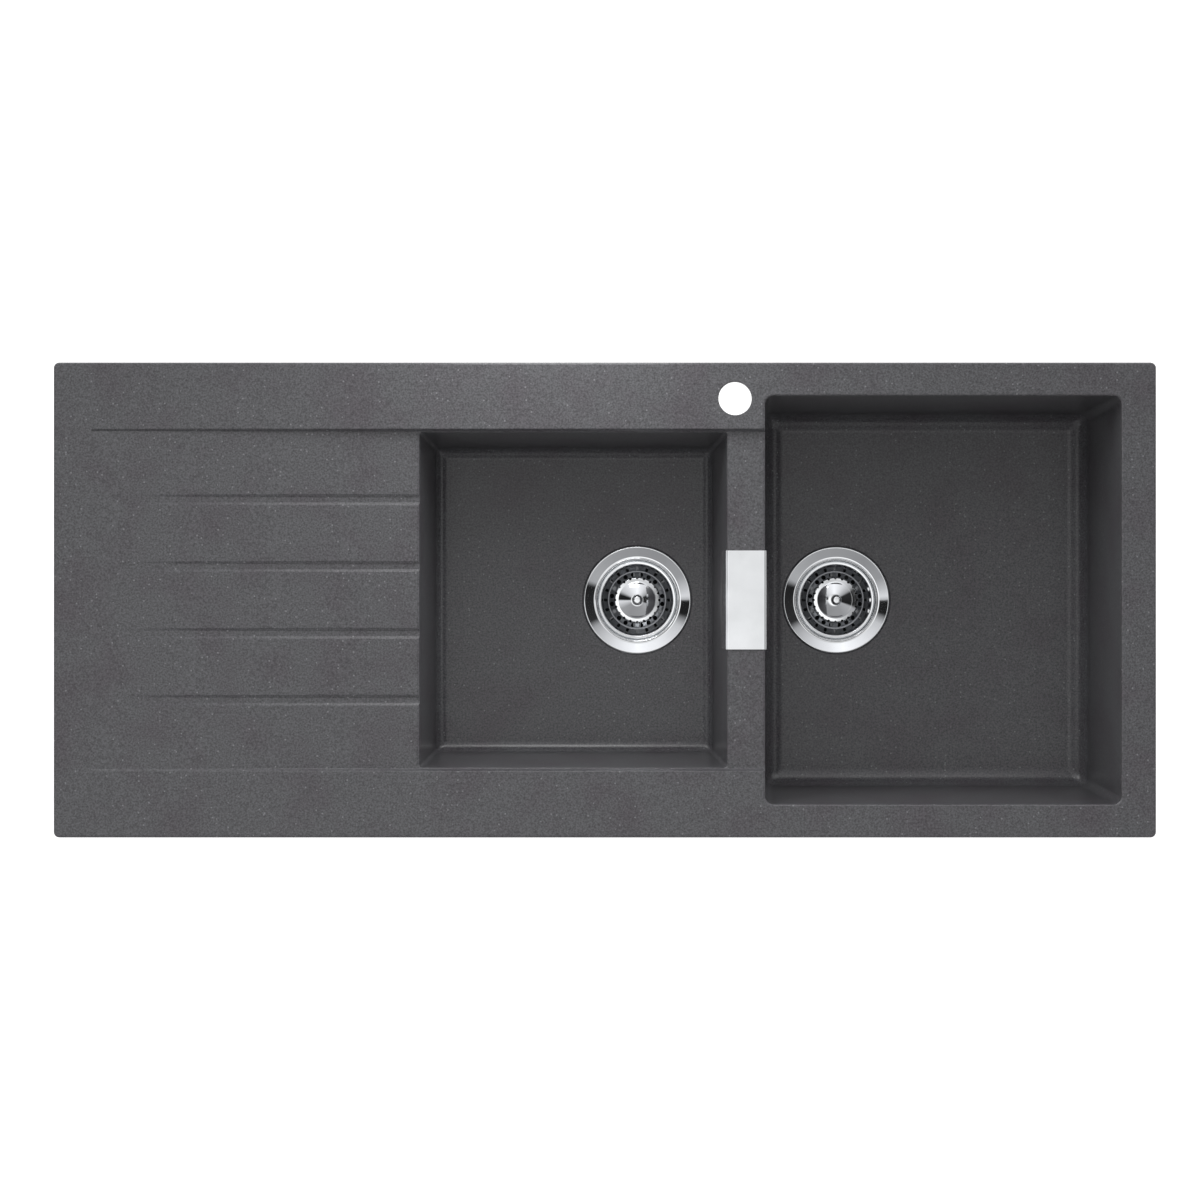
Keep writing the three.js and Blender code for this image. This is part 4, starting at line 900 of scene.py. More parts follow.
flange_line = [
    (FLANGE_R, -0.5), (FLANGE_R - ROLLED_EDGE, FLANGE_CREST), (CONE_R, -CONE_DROP - 0.2),
    (BEAD_R + BEAD_HALF, -CONE_DROP - 0.3), (BEAD_R, BEAD - CONE_DROP - 0.3),
    (BEAD_R - BEAD_HALF, -CONE_DROP - 0.4), (CUP_R + CUP_MOUTH, -CONE_DROP - 0.4),
    (CUP_R, -CONE_DROP - 0.4 - CUP_MOUTH),
    (CUP_R, -LEDGE_DROP), (LOWER_R, -LEDGE_DROP - LEDGE_FALL), (LOWER_R, CUP_FLOOR + CUP_FOOT),
    (LOWER_R - CUP_FOOT, CUP_FLOOR), (CUP_HOLE_R, CUP_FLOOR)]


def window_tool():
    """An opening in the cup's floor, between two spokes."""
    outline = []
    for radius, side in ((HUB_R, 1), (LOWER_R - CUP_FOOT - 1, -1)):
        half = math.pi / WINDOW_COUNT - math.asin(HALF_SPOKE / radius)
        for i in range(9):
            angle = half * side * (1 - i / 4)
            outline.append((radius * math.cos(angle), radius * math.sin(angle)))
    outline = eased(outline, 1.5, 3, closed=True)
    return raised("window", outline, CUP_FLOOR - 2 * STEEL_SHEET, CUP_FLOOR + PAST)


def on_waste(piece, prefix):
    """Moves a piece from the origin to its bowl's waste."""
    return moved(piece, (BOWLS[prefix]["waste_x"], 0, BOWLS[prefix]["floor"]))


def ring_piece(name, inner, outer, low, high, radius):
    """A plain ring with rounded edges, round the waste's axis."""
    return turned(name, bar_section(inner, outer, low, high, radius))


def satin_shade_below(piece, prefix, height):
    """Gives the faces that lie deeper than a height above the bowl's floor the satin finish, painted darker
    as shade.
    """
    piece.data.materials.append(SATIN_SHADED)
    level = (BOWLS[prefix]["floor"] + height) * MM
    for face in piece.data.polygons:
        face.material_index = int(face.center.z < level)


for prefix in BOWLS:
    made = turned(prefix + "_flange", sheet_section(flange_line, STEEL_SHEET, FLANGE_BEND_R), FINE)
    repeat(made, "DIFFERENCE", window_tool(), WINDOW_COUNT, POLISHED, turn=360 / WINDOW_COUNT)
    polish(on_waste(made, prefix), CRISP)
    hand_over(made, "sink", POLISHED, "polished_steel", prefix + "_waste_flange")
    # painted shade: below the stopper's ledge the cup takes the darker satin
    satin_shade_below(made, prefix, -LEDGE_DROP)

# %% [markdown]
# Under the flange lie a foam ring, the granite floor, a rubber gasket and the plastic body. The gasket
# has three fine beads on each face, which bite first when the screw pulls everything together.

# %% Seals and gaskets
FLANGE_SEAL_WIDTH = 3
GASKET_TOP = -FLOOR_THICKNESS - WASTE_BOSS - TOUCH
GASKET = 3
GASKET_R = (46.5, 57)
GASKET_BEADS = 3
BEAD_DEPTH = 0.35


def gasket_section():
    """A flat ring's section with beads on both faces."""
    inner, outer = GASKET_R
    count = 8 * GASKET_BEADS
    upper = []
    for i in range(count + 1):
        wave = (1 - math.cos(2 * math.pi * GASKET_BEADS * i / count)) / 2
        upper.append((inner + (outer - inner) * i / count, GASKET_TOP - BEAD_DEPTH * (1 - wave)))
    middle = GASKET_TOP - GASKET / 2
    return upper + [(r, 2 * middle - z) for r, z in reversed(upper)]


for prefix in BOWLS:
    seal_top = -CONE_DROP - 0.4 - STEEL_SHEET - TOUCH
    inner = SEAT_R - FLANGE_SEAL_WIDTH
    seal = ring_piece(prefix + "_foam_ring", inner, SEAT_R, TOUCH - SEAT_DROP, seal_top, 0.6)
    seal = polish(on_waste(seal, prefix), SOFT)
    hand_over(seal, "sink", FOAM, "sealing_foam", prefix + "_flange_seal")
    gasket = polish(on_waste(turned(prefix + "_gasket", gasket_section()), prefix), SOFT)
    hand_over(gasket, "sink", RUBBER, "black_rubber", prefix + "_waste_gasket")

# %% [markdown]
# A thread is a helix. A row of points every eighth of a pitch is already in the turned section, and each
# point is then pushed in by how far it lies from the crest, which climbs one pitch in a full turn.

# %% Threads
ROWS_PER_PITCH = 8


def thread_rows(radius, low, high, pitch):
    """Points down a rod's side, close enough for a thread."""
    count = round((high - low) / pitch * ROWS_PER_PITCH)
    return [(radius, high + (low - high) * i / count) for i in range(count + 1)]


def cut_thread(piece, radius, low, high, pitch, depth):
    """Presses a helical groove into the side of a rod on the upright axis."""
    for vertex in piece.data.vertices:
        x, y, z = vertex.co / MM
        if abs(math.hypot(x, y) - radius) < 0.01 and low <= z <= high:
            turn = (z - low) / pitch + math.atan2(y, x) / (2 * math.pi)
            flank = abs(turn % 1 * 2 - 1)
            fade = min(1, (z - low) / pitch, (high - z) / pitch)
            share = 1 - depth * fade * flank / radius
            vertex.co = Vector((x * share, y * share, z)) * MM
    piece.data.update()


print("A thread takes", ROWS_PER_PITCH, "rows of points to a pitch")

# %% [markdown]
# The waste body is moulded plastic: a flange with gussets, a cup round the steel one, three webs that
# hold the hub for the screw, a funnel and a threaded outlet. The large bowl's body also has a port
# for the overflow. The tube for it is a skin over circles along a path, which also makes the pipe.

# %% Waste bodies
BODY_TOP = GASKET_TOP - GASKET - TOUCH
BODY_FLANGE = 4.5
BODY_WALL = 2.6
BODY_CUP_R = LOWER_R + STEEL_SHEET + 1.2
BODY_CUP_FLOOR = -49
NECK = BODY_CUP_FLOOR - 8
OUTLET_R = 23.9
OUTLET_BORE_R = 20.3
OUTLET_FOOT = -85
OUTLET_THREAD = (OUTLET_FOOT + 1, NECK - BODY_WALL - 4)
OUTLET_PITCH = 2.31
OUTLET_THREAD_DEPTH = 1.3
OUTLET_CHAMFER = 0.8
BODY_EDGE_R = 1.4
BODY_HUB_R = 6.5
BODY_HUB_TOP = CUP_FLOOR - STEEL_SHEET - TOUCH
BODY_HUB_HEIGHT = 8
WEB_COUNT = 3
WEB_HALF = 2
GUSSET_COUNT = 12
GUSSET_HALF = 0.9
GUSSET_DROP = 7
SCREW_HOLE_R = 2.8
PIPE_R = 9
PIPE_BORE_R = 7.2
PORT_Z = -38.5
PORT_END = BODY_CUP_R + BODY_WALL + 10


def swept(name, path, radii, sides=40):
    """A rod or, with two radii, a tube along a path in the plane of X and Z."""
    outlines = []
    for turn_back, radius in enumerate(radii):
        rings = []
        for point, before, after in zip(path, [path[0], *path], [*path[1:], path[-1]]):
            along = (Vector(after) - Vector(before)).normalized()
            rings.append([])
            for i in range(sides):
                angle = 2 * math.pi * i / sides
                out, across = radius * math.cos(angle), radius * math.sin(angle)
                rings[-1].append((point[0] - along.y * out, across, point[1] + along.x * out))
        outlines += rings[::-1] if turn_back else rings
    return lofted(name, outlines, closed=len(radii) > 1)


def body_section():
    """The body's shell, from the outlet's bore round the outside and back."""
    outer_r, rim_r, flange_foot = BODY_CUP_R + BODY_WALL, GASKET_R[1], BODY_TOP - BODY_FLANGE
    rows = thread_rows(OUTLET_R, *OUTLET_THREAD, OUTLET_PITCH)
    bore = (OUTLET_BORE_R, OUTLET_FOOT)
    side = [rows[0], (OUTLET_R, NECK - BODY_WALL), (outer_r, BODY_CUP_FLOOR), (outer_r, flange_foot),
            (rim_r, flange_foot), (rim_r, BODY_TOP), (BODY_CUP_R, BODY_TOP), (BODY_CUP_R, BODY_CUP_FLOOR),
            (OUTLET_BORE_R, NECK), bore]
    foot = (OUTLET_R - OUTLET_CHAMFER, OUTLET_FOOT)
    return [bore, foot, *reversed(rows), *eased(side, BODY_EDGE_R, 4)[1:-1]]


def waste_body(prefix, has_port):
    made = turned(prefix + "_body", body_section(), FINE)
    cut_thread(made, OUTLET_R, *OUTLET_THREAD, OUTLET_PITCH, OUTLET_THREAD_DEPTH)
    hub_foot = BODY_HUB_TOP - BODY_HUB_HEIGHT
    work(made, "UNION", [rod("hub", BODY_HUB_R, hub_foot, BODY_HUB_TOP)])
    wall, foot, tip = BODY_CUP_R + BODY_WALL / 2, BODY_TOP - BODY_FLANGE, GASKET_R[1] - 3
    web = block("web", 0, -WEB_HALF, hub_foot, wall, WEB_HALF, BODY_HUB_TOP - 1)
    repeat(made, "UNION", web, WEB_COUNT, PLASTIC, first=180 / WEB_COUNT, turn=360 / WEB_COUNT)
    outline = [(wall, foot + 1), (tip, foot + 1), (tip, foot), (wall, foot - GUSSET_DROP)]
    gusset = pushed("gusset", outline, GUSSET_HALF)
    repeat(made, "UNION", gusset, GUSSET_COUNT, PLASTIC, first=180 / GUSSET_COUNT, turn=360 / GUSSET_COUNT)
    cuts = [rod("screw hole", SCREW_HOLE_R, hub_foot - PAST, BODY_HUB_TOP + PAST, steps=TINY)]
    if has_port:
        work(made, "UNION", [swept("port", [(-wall, PORT_Z), (-PORT_END, PORT_Z)], [PIPE_R])])
        cuts.append(swept("way", [(PAST - BODY_CUP_R, PORT_Z), (-PORT_END - PAST, PORT_Z)], [PIPE_BORE_R]))
    work(made, "DIFFERENCE", cuts)
    polish(on_waste(made, prefix), THREADED)
    return hand_over(made, "sink", PLASTIC, "waste_plastic", prefix + "_waste_body")


for prefix in BOWLS:
    waste_body(prefix, has_port=prefix == "main")

# %% [markdown]
# One screw pulls the flange down and the body up. Its broad head has a slot wide enough for a coin, so
# that the waste can be undone from above once the basket is out.

# %% Clamp screws
CLAMP_SCREW_R = 2.5
CLAMP_HEAD_R = 6
CLAMP_HEAD = 3
CLAMP_CROWN_R = 3.6
CLAMP_PITCH = 0.9
CLAMP_THREAD_DEPTH = 0.45
CLAMP_SLOT_HALF = 0.8

for prefix in BOWLS:
    seat = CUP_FLOOR + TOUCH
    tip = BODY_HUB_TOP - BODY_HUB_HEIGHT - 1
    thread, top = (tip + 0.6, seat - 1), seat + CLAMP_HEAD
    shank = thread_rows(CLAMP_SCREW_R, *thread, CLAMP_PITCH)
    head = [(CLAMP_SCREW_R, seat), (CLAMP_HEAD_R, seat), (CLAMP_HEAD_R, seat + 1.5), (CLAMP_CROWN_R, top),
            (0, top)]
    line = [(0, tip), (CLAMP_SCREW_R - 0.5, tip), *reversed(shank), *eased(head, 0.7, 4)]
    screw = turned(prefix + "_screw", line, SMALL_ROUND)
    cut_thread(screw, CLAMP_SCREW_R, *thread, CLAMP_PITCH, CLAMP_THREAD_DEPTH)
    reach = CLAMP_HEAD_R + PAST
    slot = block("slot", -reach, -CLAMP_SLOT_HALF, seat + 1.4, reach, CLAMP_SLOT_HALF, top + PAST)
    work(screw, "DIFFERENCE", [slot])
    polish(on_waste(screw, prefix), THREADED)
    hand_over(screw, "sink", TURNED, "fastener_steel", prefix + "_clamp_screw")

# %% [markdown]
# The strainer basket is pressed from thinner sheet: a rolled rim, a steep wall, a ring of slots,
# a trough, a ring of round holes that climbs towards the middle, and a polished dome whose edge is
# scalloped by a ring of notches. The sheet is turned first, and then each ring's tool cuts it twenty
# times. The tools are upright, as punches are, so that the holes look round from above.

# %% Strainer baskets
BASKET_SHEET = 1.0
BASKET_R = 43.1
RIM_DROP = 4.6
ROLL = 0.9
RIM_WIDTH = 3.7
BASKET_FLOOR = -21
TROUGH_R = (31.0, 32.2)
SLOT_BAND = 5.4
SLOT_RISE = 3.9
HOLE_BAND = 5.6
HOLE_RISE = 4
BRIM_R = 24.6
BRIM_EDGE = -12.4
DOME_R = 20
DOME_EDGE = -11.8
DOME_TOP = -7.2
DOME_STEPS = 8
BASKET_BEND_R = 0.8
STEM_R = 2.2
PERFORATIONS = 20
# below this depth the basket takes the darker satin, which paints the shade deep in the waste
SATIN_SHADE_START = 0.9  # below the brim's edge
NOTCH_R = 1.4
NOTCH_RING = 24.3
HOLE_R = 2.5
SLOT_HALF = (2.4, 1.6)


def dome_height(radius):
    """The dome's height at a radius; it falls off with the square of it."""
    return DOME_TOP + (DOME_EDGE - DOME_TOP) * (radius / DOME_R) ** 2


def basket_section():
    inner, outer = TROUGH_R
    line = [(BASKET_R, -RIM_DROP - ROLL), (BASKET_R - ROLL, -RIM_DROP),
            (BASKET_R - RIM_WIDTH, -RIM_DROP - 0.2), (outer + SLOT_BAND, BASKET_FLOOR + SLOT_RISE),
            (outer, BASKET_FLOOR), (inner, BASKET_FLOOR), (inner - HOLE_BAND, BASKET_FLOOR + HOLE_RISE),
            (BRIM_R, BRIM_EDGE)]
    radii = [DOME_R + (STEM_R + TOUCH - DOME_R) * i / DOME_STEPS for i in range(DOME_STEPS + 1)]
    dome = [(radius, dome_height(radius)) for radius in radii]
    return sheet_section([*line, *dome], BASKET_SHEET, BASKET_BEND_R)


def punch(name, radius, half_length, half_width):
    """An upright tool with round ends, its length along the radius."""
    outline = [(radius + x, y) for x, y in obround(half_length, half_width, 7)]
    return raised(name, outline, BASKET_FLOOR - PAST, DOME_TOP)


PUNCHES = (("notches", NOTCH_RING, NOTCH_R + 0.01, NOTCH_R, 0),
           ("holes", TROUGH_R[0] - HOLE_BAND / 2, HOLE_R + 0.01, HOLE_R, 0.5),
           ("slots", TROUGH_R[1] + SLOT_BAND / 2, *SLOT_HALF, 0))
for prefix in BOWLS:
    basket = turned(prefix + "_strainer", basket_section(), 8 * PERFORATIONS)
    for name, radius, half_length, half_width, stagger in PUNCHES:
        tool = punch(name, radius, half_length, half_width)
        pitch = 360 / PERFORATIONS
        repeat(basket, "DIFFERENCE", tool, PERFORATIONS, POLISHED, first=stagger * pitch, turn=pitch)
    polish(on_waste(basket, prefix), PUNCHED)
    hand_over(basket, prefix + "_basket", POLISHED, "polished_steel", prefix + "_basket")
    # painted shade: below its brim the basket takes the darker satin
    satin_shade_below(basket, prefix, BRIM_EDGE - SATIN_SHADE_START)

# %% [markdown]
# The knob and its stem are turned in one piece. A collar stands on the dome, a press-on washer holds
# the stem from below, and a rubber ring under the basket's rim closes the waste on the cup's ledge.

# %% Knobs, washers and stopper rings
KNOB_R = 6
KNOB_STEPS = 64
KNOB_RISE = 5.5
KNOB_HEIGHT = 6
KNOB_FACE_R = 3.6
KNOB_CROWN = 2.4
NECK_R = STEM_R + 0.4
COLLAR_R = STEM_R + 1.2
WASHER_R = 5
WASHER = 3
STOPPER_R = 42.4
STOPPER_WIDTH = 2
STOPPER_LIPS = 2
LIP_DEPTH = 0.35


def knob_section():
    under, collar = DOME_TOP + KNOB_RISE, DOME_TOP + TOUCH
    top, foot = under + KNOB_HEIGHT, DOME_TOP - BASKET_SHEET - WASHER
    line = [(0, foot), (STEM_R, foot), (STEM_R, collar), (COLLAR_R, collar), (NECK_R, collar + 1.4),
            (NECK_R, under), (KNOB_R, under + 1), (KNOB_R, top - KNOB_CROWN), (KNOB_FACE_R, top), (0, top)]
    return eased(line, 1.1, 6)


def stopper_section():
    """A ring whose outer face has two soft lips."""
    low, top = TOUCH - LEDGE_DROP, -RIM_DROP - ROLL - BASKET_SHEET - TOUCH
    count = 10 * STOPPER_LIPS
    lips = []
    for i in range(count + 1):
        wave = (1 - math.cos(2 * math.pi * STOPPER_LIPS * i / count)) / 2
        lips.append((STOPPER_R - LIP_DEPTH * (1 - wave), low + (top - low) * i / count))
    return [(STOPPER_R - STOPPER_WIDTH, low), *lips, (STOPPER_R - STOPPER_WIDTH, top)]


for prefix in BOWLS:
    body = prefix + "_basket"
    knob = polish(on_waste(turned(prefix + "_pull_knob", knob_section(), KNOB_STEPS), prefix), CRISP)
    hand_over(knob, body, POLISHED, "polished_steel", prefix + "_basket_knob")
    washer_top = DOME_TOP - BASKET_SHEET - TOUCH - 0.4
    washer = ring_piece(prefix + "_washer", STEM_R + TOUCH, WASHER_R, washer_top - WASHER, washer_top, 0.5)
    polish(on_waste(washer, prefix), CRISP)
    hand_over(washer, body, TURNED, "fastener_steel", prefix + "_basket_retainer")
    stopper = polish(on_waste(turned(prefix + "_stopper", stopper_section(), FINE), prefix), SOFT)
    hand_over(stopper, body, RUBBER, "black_rubber", prefix + "_basket_stopper")

# %% [markdown]
# A saddle of polished sheet hangs over the divider and hides the overflow slots behind its legs. Its
# section is an open line with two bends, pushed out along the divider; the legs' lower corners are
# then rounded by keeping only what lies inside a rounded plate.

# %% Overflow cover
COVER_HALF = 52.2
COVER_SHEET = 1.0
COVER_LEG = 35
COVER_SPLAY = 0.3
COVER_BEND_R = 2.6  # outside the bend
COVER_CORNER_R = 4
SLIDE = 0.6


def small_face(z):
    return SMALL["x1"] - lean(SMALL, z)


def main_face(z):
    return MAIN["x0"] + lean(MAIN, z)


def overflow_cover():
    top = PAN_FLOOR + TOUCH
    foot, outside = top - COVER_LEG, SLIDE + COVER_SHEET
    line = [(main_face(foot) + outside + COVER_SPLAY, foot), (main_face(top) + outside, top + COVER_SHEET),
            (small_face(top) - outside, top + COVER_SHEET), (small_face(foot) - outside - COVER_SPLAY, foot)]
    (x0, _), (x1, _), (x2, _), (x3, _) = line
    under = [(x0 - COVER_SHEET, foot), (x1 - COVER_SHEET, top),
             (x2 + COVER_SHEET, top), (x3 + COVER_SHEET, foot)]
    bend = COVER_BEND_R - COVER_SHEET
    section = eased(line, COVER_BEND_R, 8) + eased(under, bend, 8)[::-1]
    made = pushed("overflow_saddle", section, COVER_HALF)
    plate = ring(-COVER_HALF, foot, COVER_HALF, top + 3 * COVER_CORNER_R, COVER_CORNER_R, 0)
    plate = [(y, z) for y, z, _ in plate]
    work(made, "INTERSECT", [bridged("plate", plate, x3 - PAST, x0 + PAST)])
    return polish(made, CRISP, 0.2)


cover = overflow_cover()
hand_over(cover, "overflow_cover", POLISHED, "polished_steel", "overflow_cover")

# %% [markdown]
# Water that reaches the slots runs into a duct between the bowls, down a pipe and into the large
# bowl's waste. The duct and its gaskets are slices of the hollow between the two leaning walls, and
# the pipe follows one smooth curve between its two straight ends.

# %% Overflow duct, gaskets and pipe
OVERFLOW_GASKET = 2
SLOT_HALF_SIZES = (OVERFLOW_HALF_LENGTH, OVERFLOW_HALF_HEIGHT)
DUCT_HALF = (OVERFLOW_HALF_LENGTH + 6, OVERFLOW_HALF_HEIGHT + 5)
DUCT_WALL = 2
SPIGOT = 10
PIPE_STRAIGHT = 14
PIPE_FALL = 0.86
PIPE_REACH = 0.1


def small_back(z):
    return small_face(z) + WALL


def main_back(z):
    return main_face(z) - WALL


def slice_between(name, left, right, grow_left, grow_right, half_length, half_height):
    """What lies between two leaning faces, at the height of the slots."""
    z0, z1 = OVERFLOW_Z - half_height, OVERFLOW_Z + half_height
    outline = [(left(z0) + grow_left, z0), (right(z0) + grow_right, z0), (right(z1) + grow_right, z1),
               (left(z1) + grow_left, z1)]
    return pushed(name, outline, half_length)


def overflow_gasket(name, face, near, far):
    made = slice_between(name, face, face, near, far, *DUCT_HALF)
    window = slice_between("window", face, face, near - PAST, far + PAST, *SLOT_HALF_SIZES)
    return polish(work(made, "DIFFERENCE", [window]), CRISP, 0.4)


seated = OVERFLOW_GASKET + TOUCH
hand_over(overflow_gasket("small_side_gasket", small_back, TOUCH, seated), "sink", RUBBER, "black_rubber",
          "overflow_gasket_small")
hand_over(overflow_gasket("main_side_gasket", main_back, -seated, -TOUCH), "sink", RUBBER, "black_rubber",
          "overflow_gasket_main")

pipe_x = (small_back(OVERFLOW_Z) + main_back(OVERFLOW_Z)) / 2
duct_foot = OVERFLOW_Z - DUCT_HALF[1]
spigot_foot = duct_foot - SPIGOT
duct = slice_between("overflow_chamber", small_back, main_back, seated + TOUCH, -seated - TOUCH, *DUCT_HALF)
work(duct, "UNION", [swept("spigot", [(pipe_x, duct_foot + DUCT_WALL / 2), (pipe_x, spigot_foot)], [PIPE_R])])
half_length, half_height = SLOT_HALF_SIZES
way_through = slice_between("way", small_back, main_back, 0, 0, half_length, half_height + DUCT_WALL)
way_down = swept("bore", [(pipe_x, OVERFLOW_Z), (pipe_x, spigot_foot - PAST)], [PIPE_BORE_R])
work(duct, "DIFFERENCE", [way_through, way_down])
hand_over(polish(duct, CRISP, 0.4), "sink", PLASTIC, "waste_plastic", "overflow_duct")

port_x, port_z = MAIN["waste_x"] - PORT_END, MAIN["floor"] + PORT_Z
start, end = Vector((pipe_x, spigot_foot - TOUCH)), Vector((port_x - TOUCH, port_z))
drop, enter = start - Vector((0, PIPE_STRAIGHT)), end - Vector((PIPE_STRAIGHT, 0))
fall = Vector((pipe_x, start.y + (end.y - start.y) * PIPE_FALL))
near = Vector((pipe_x + (end.x - pipe_x) * PIPE_REACH, port_z))
path = [start, *interpolate_bezier(drop, fall, near, enter, 28), end]
pipe = swept("overflow_tube", [tuple(point) for point in path], [PIPE_R, PIPE_BORE_R])
hand_over(polish(pipe, TUBULAR), "sink", PLASTIC, "waste_plastic", "overflow_pipe")

# %% [markdown]
# A union nut joins the pipe at each end. Its ribs give wet fingers a grip: one rib is laid upright
# against the nut's side, and the repeating tree joins twenty-four of them to it.

# %% Union nuts
NUT_R = 12.2
NUT_HALF = 7
GRIP_COUNT = 24
GRIP_R = 0.9

for name, node, place, turn in (
        ("duct_union", "overflow_duct_nut", (pipe_x, 0, spigot_foot), None),
        ("port_union", "overflow_port_nut", (port_x, 0, port_z), Matrix.Rotation(math.pi / 2, 4, "Y"))):
    nut = turned(name, bar_section(PIPE_R + SLIDE, NUT_R - GRIP_R / 2, -NUT_HALF, NUT_HALF, 0.8))
    grip = rod("grip", GRIP_R, 1 - NUT_HALF, NUT_HALF - 1, (NUT_R - GRIP_R, 0, 0), 12)
    repeat(nut, "UNION", grip, GRIP_COUNT, PLASTIC, turn=360 / GRIP_COUNT)
    polish(moved(nut, place, turn), CRISP)
    hand_over(nut, "sink", PLASTIC, "waste_plastic", node)

# %% [markdown]
# Eight clips hold the sink down. Each is a bent strip that swings out under the worktop, and its raised
# tip has teeth that bite the board. A hook is made once round its screw's axis, then turned and moved
# to its place. Each hook moves by itself, so each is a piece of its own.

# %% Clip hooks
STRIP = 2
STRIP_HALF = 6
HOOK_REACH = 28
HOOK_TIP = 7
HOOK_BEND_R = 2.5
HOOK_CORNER_R = 3
TOOTH_PITCH = 3
TOOTH_DEPTH = 1.4
HOOK_HOLE_R = 2.8


def clip_hook(name):
    """A hook along X, with its screw's axis at the origin."""
    line = [(HOOK_REACH, HOOK_TIP), (HOOK_REACH, 0), (-STRIP_HALF, 0)]
    inside = [(HOOK_REACH - STRIP, HOOK_TIP), (HOOK_REACH - STRIP, STRIP), (-STRIP_HALF, STRIP)]
    section = eased(line, HOOK_BEND_R) + eased(inside, HOOK_BEND_R - STRIP)[::-1]
    hook = pushed(name, section, STRIP_HALF)
    plan = [ring(-STRIP_HALF, -STRIP_HALF, HOOK_REACH, STRIP_HALF, HOOK_CORNER_R, z)
            for z in (-PAST, HOOK_TIP + PAST)]
    work(hook, "INTERSECT", [lofted("plan", plan)])
    x0, x1 = HOOK_REACH - 2 * STRIP, HOOK_REACH + STRIP
    notch = bridged("notch", [(-1, HOOK_TIP + 1), (0, HOOK_TIP - TOOTH_DEPTH), (1, HOOK_TIP + 1)], x0, x1)
    repeat(hook, "DIFFERENCE", notch, 3, ZINC, (0, -TOOTH_PITCH, 0), (0, TOOTH_PITCH, 0))
    return work(hook, "DIFFERENCE", [rod("hole", HOOK_HOLE_R, -PAST, STRIP + PAST, steps=TINY)])


for body in frame["bodies"]:
    if body.startswith("clip_"):
        screw_low, screw_high = (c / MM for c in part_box(body + "_screw"))
        hook_low, hook_high = (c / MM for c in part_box(body + "_hook"))
        axis, middle = (screw_low + screw_high) / 2, (hook_low + hook_high) / 2
        heading = math.atan2(middle.y - axis.y, middle.x - axis.x)
        turn = Matrix.Rotation(heading, 4, "Z")
        hook = moved(clip_hook(body + "_strip"), (axis.x, axis.y, hook_low.z), turn)
        hand_over(polish(hook, CRISP, 0.25), body, ZINC, "clip_zinc", body + "_hook")

# %% [markdown]
# The eight clip screws are alike and all stay with the casting, so one mesh holds them all. The screw is
# turned with a pan head that hangs under its hook, threaded, given a cross recess, and laid out in
# the same three rows as the bosses above.

# %% Clip screws
CLIP_SCREW_R = 2.2
CLIP_HEAD_R = 4.5
CLIP_CROWN_R = 3.6
CLIP_TIP_R = 1.4
CLIP_HEAD = 3
CLIP_PITCH = 1.4
CLIP_THREAD_DEPTH = 0.5
RECESS_HALF = (2.6, 0.5)
RECESS_DEPTH = 1.6
screw_low, screw_high = (c.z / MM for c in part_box("clip_front_1_screw"))


def clip_screw():
    seat = screw_low + CLIP_HEAD
    thread = (seat + 0.5, screw_high - 1)
    shank = thread_rows(CLIP_SCREW_R, *thread, CLIP_PITCH)
    head = [(0, screw_low), (CLIP_CROWN_R, screw_low), (CLIP_HEAD_R, seat - 1.5), (CLIP_HEAD_R, seat),
            (CLIP_SCREW_R, seat)]
    tip = [(CLIP_TIP_R, screw_high), (0, screw_high)]
    screw = turned("screw", [*eased(head, 1, 4), *reversed(shank), *tip], TINY)
    cut_thread(screw, CLIP_SCREW_R, *thread, CLIP_PITCH, CLIP_THREAD_DEPTH)
    long, thin = RECESS_HALF
    arms = [block("arm", -a, -b, screw_low - PAST, a, b, screw_low + RECESS_DEPTH)
            for a, b in ((long, thin), (thin, long))]
    return polish(work(screw, "DIFFERENCE", arms), THREADED)


screws = bpy.data.objects.new("clip_screw_set", bpy.data.meshes.new("clip_screw_set"))
bpy.context.scene.collection.objects.link(screws)
along_clips(screws, "BESIDE", clip_screw, ZINC)
clip_nodes = [name for name in frame["nodes"] if name.startswith("clip_") and name.endswith("_screw")]
hand_over(screws, "sink", ZINC, "clip_zinc", *clip_nodes)

# %% [markdown]
# The object stands in a plain white studio. The floor is white to the camera and to reflections, and
# keeps a faint shadow.

# %% Floor
FLOOR_HALF = 6
FLOOR_WHITE = 0.9  # what the camera sees where the floor is in full shadow
FLOOR_BELOW = 2 * MM

floor_mesh = bpy.data.meshes.new("floor")
floor_z = cad_box[0].z - FLOOR_BELOW
corners = [(x * FLOOR_HALF, y * FLOOR_HALF, floor_z) for x, y in ((-1, -1), (1, -1), (1, 1), (-1, 1))]
floor_mesh.from_pydata(corners, [], [(0, 1, 2, 3)])
floor = bpy.data.objects.new("floor", floor_mesh)
bpy.context.scene.collection.objects.link(floor)
floor_paint, tree = blank_material("Studio floor")
path = add(tree, "ShaderNodeLightPath")
shown = path["Is Camera Ray"]
for ray in ("Is Glossy Ray", "Is Transmission Ray"):
    shown = add(tree, "ShaderNodeMath", {0: shown, 1: path[ray]}, operation="MAXIMUM")[0]
strength = add(tree, "ShaderNodeMath", {0: shown, 1: FLOOR_WHITE}, operation="MULTIPLY")[0]
glow = add(tree, "ShaderNodeEmission", {"Color": (1, 1, 1, 1), "Strength": strength})[0]
paint = add(tree, "ShaderNodeBsdfDiffuse", {"Color": linear("#c8c8c8")})[0]
both = add(tree, "ShaderNodeAddShader", {0: glow, 1: paint})[0]
add(tree, "ShaderNodeOutputMaterial", {"Surface": both})
floor_mesh.materials.append(floor_paint)
print("The floor lies at", round(floor_z, 4), "m")

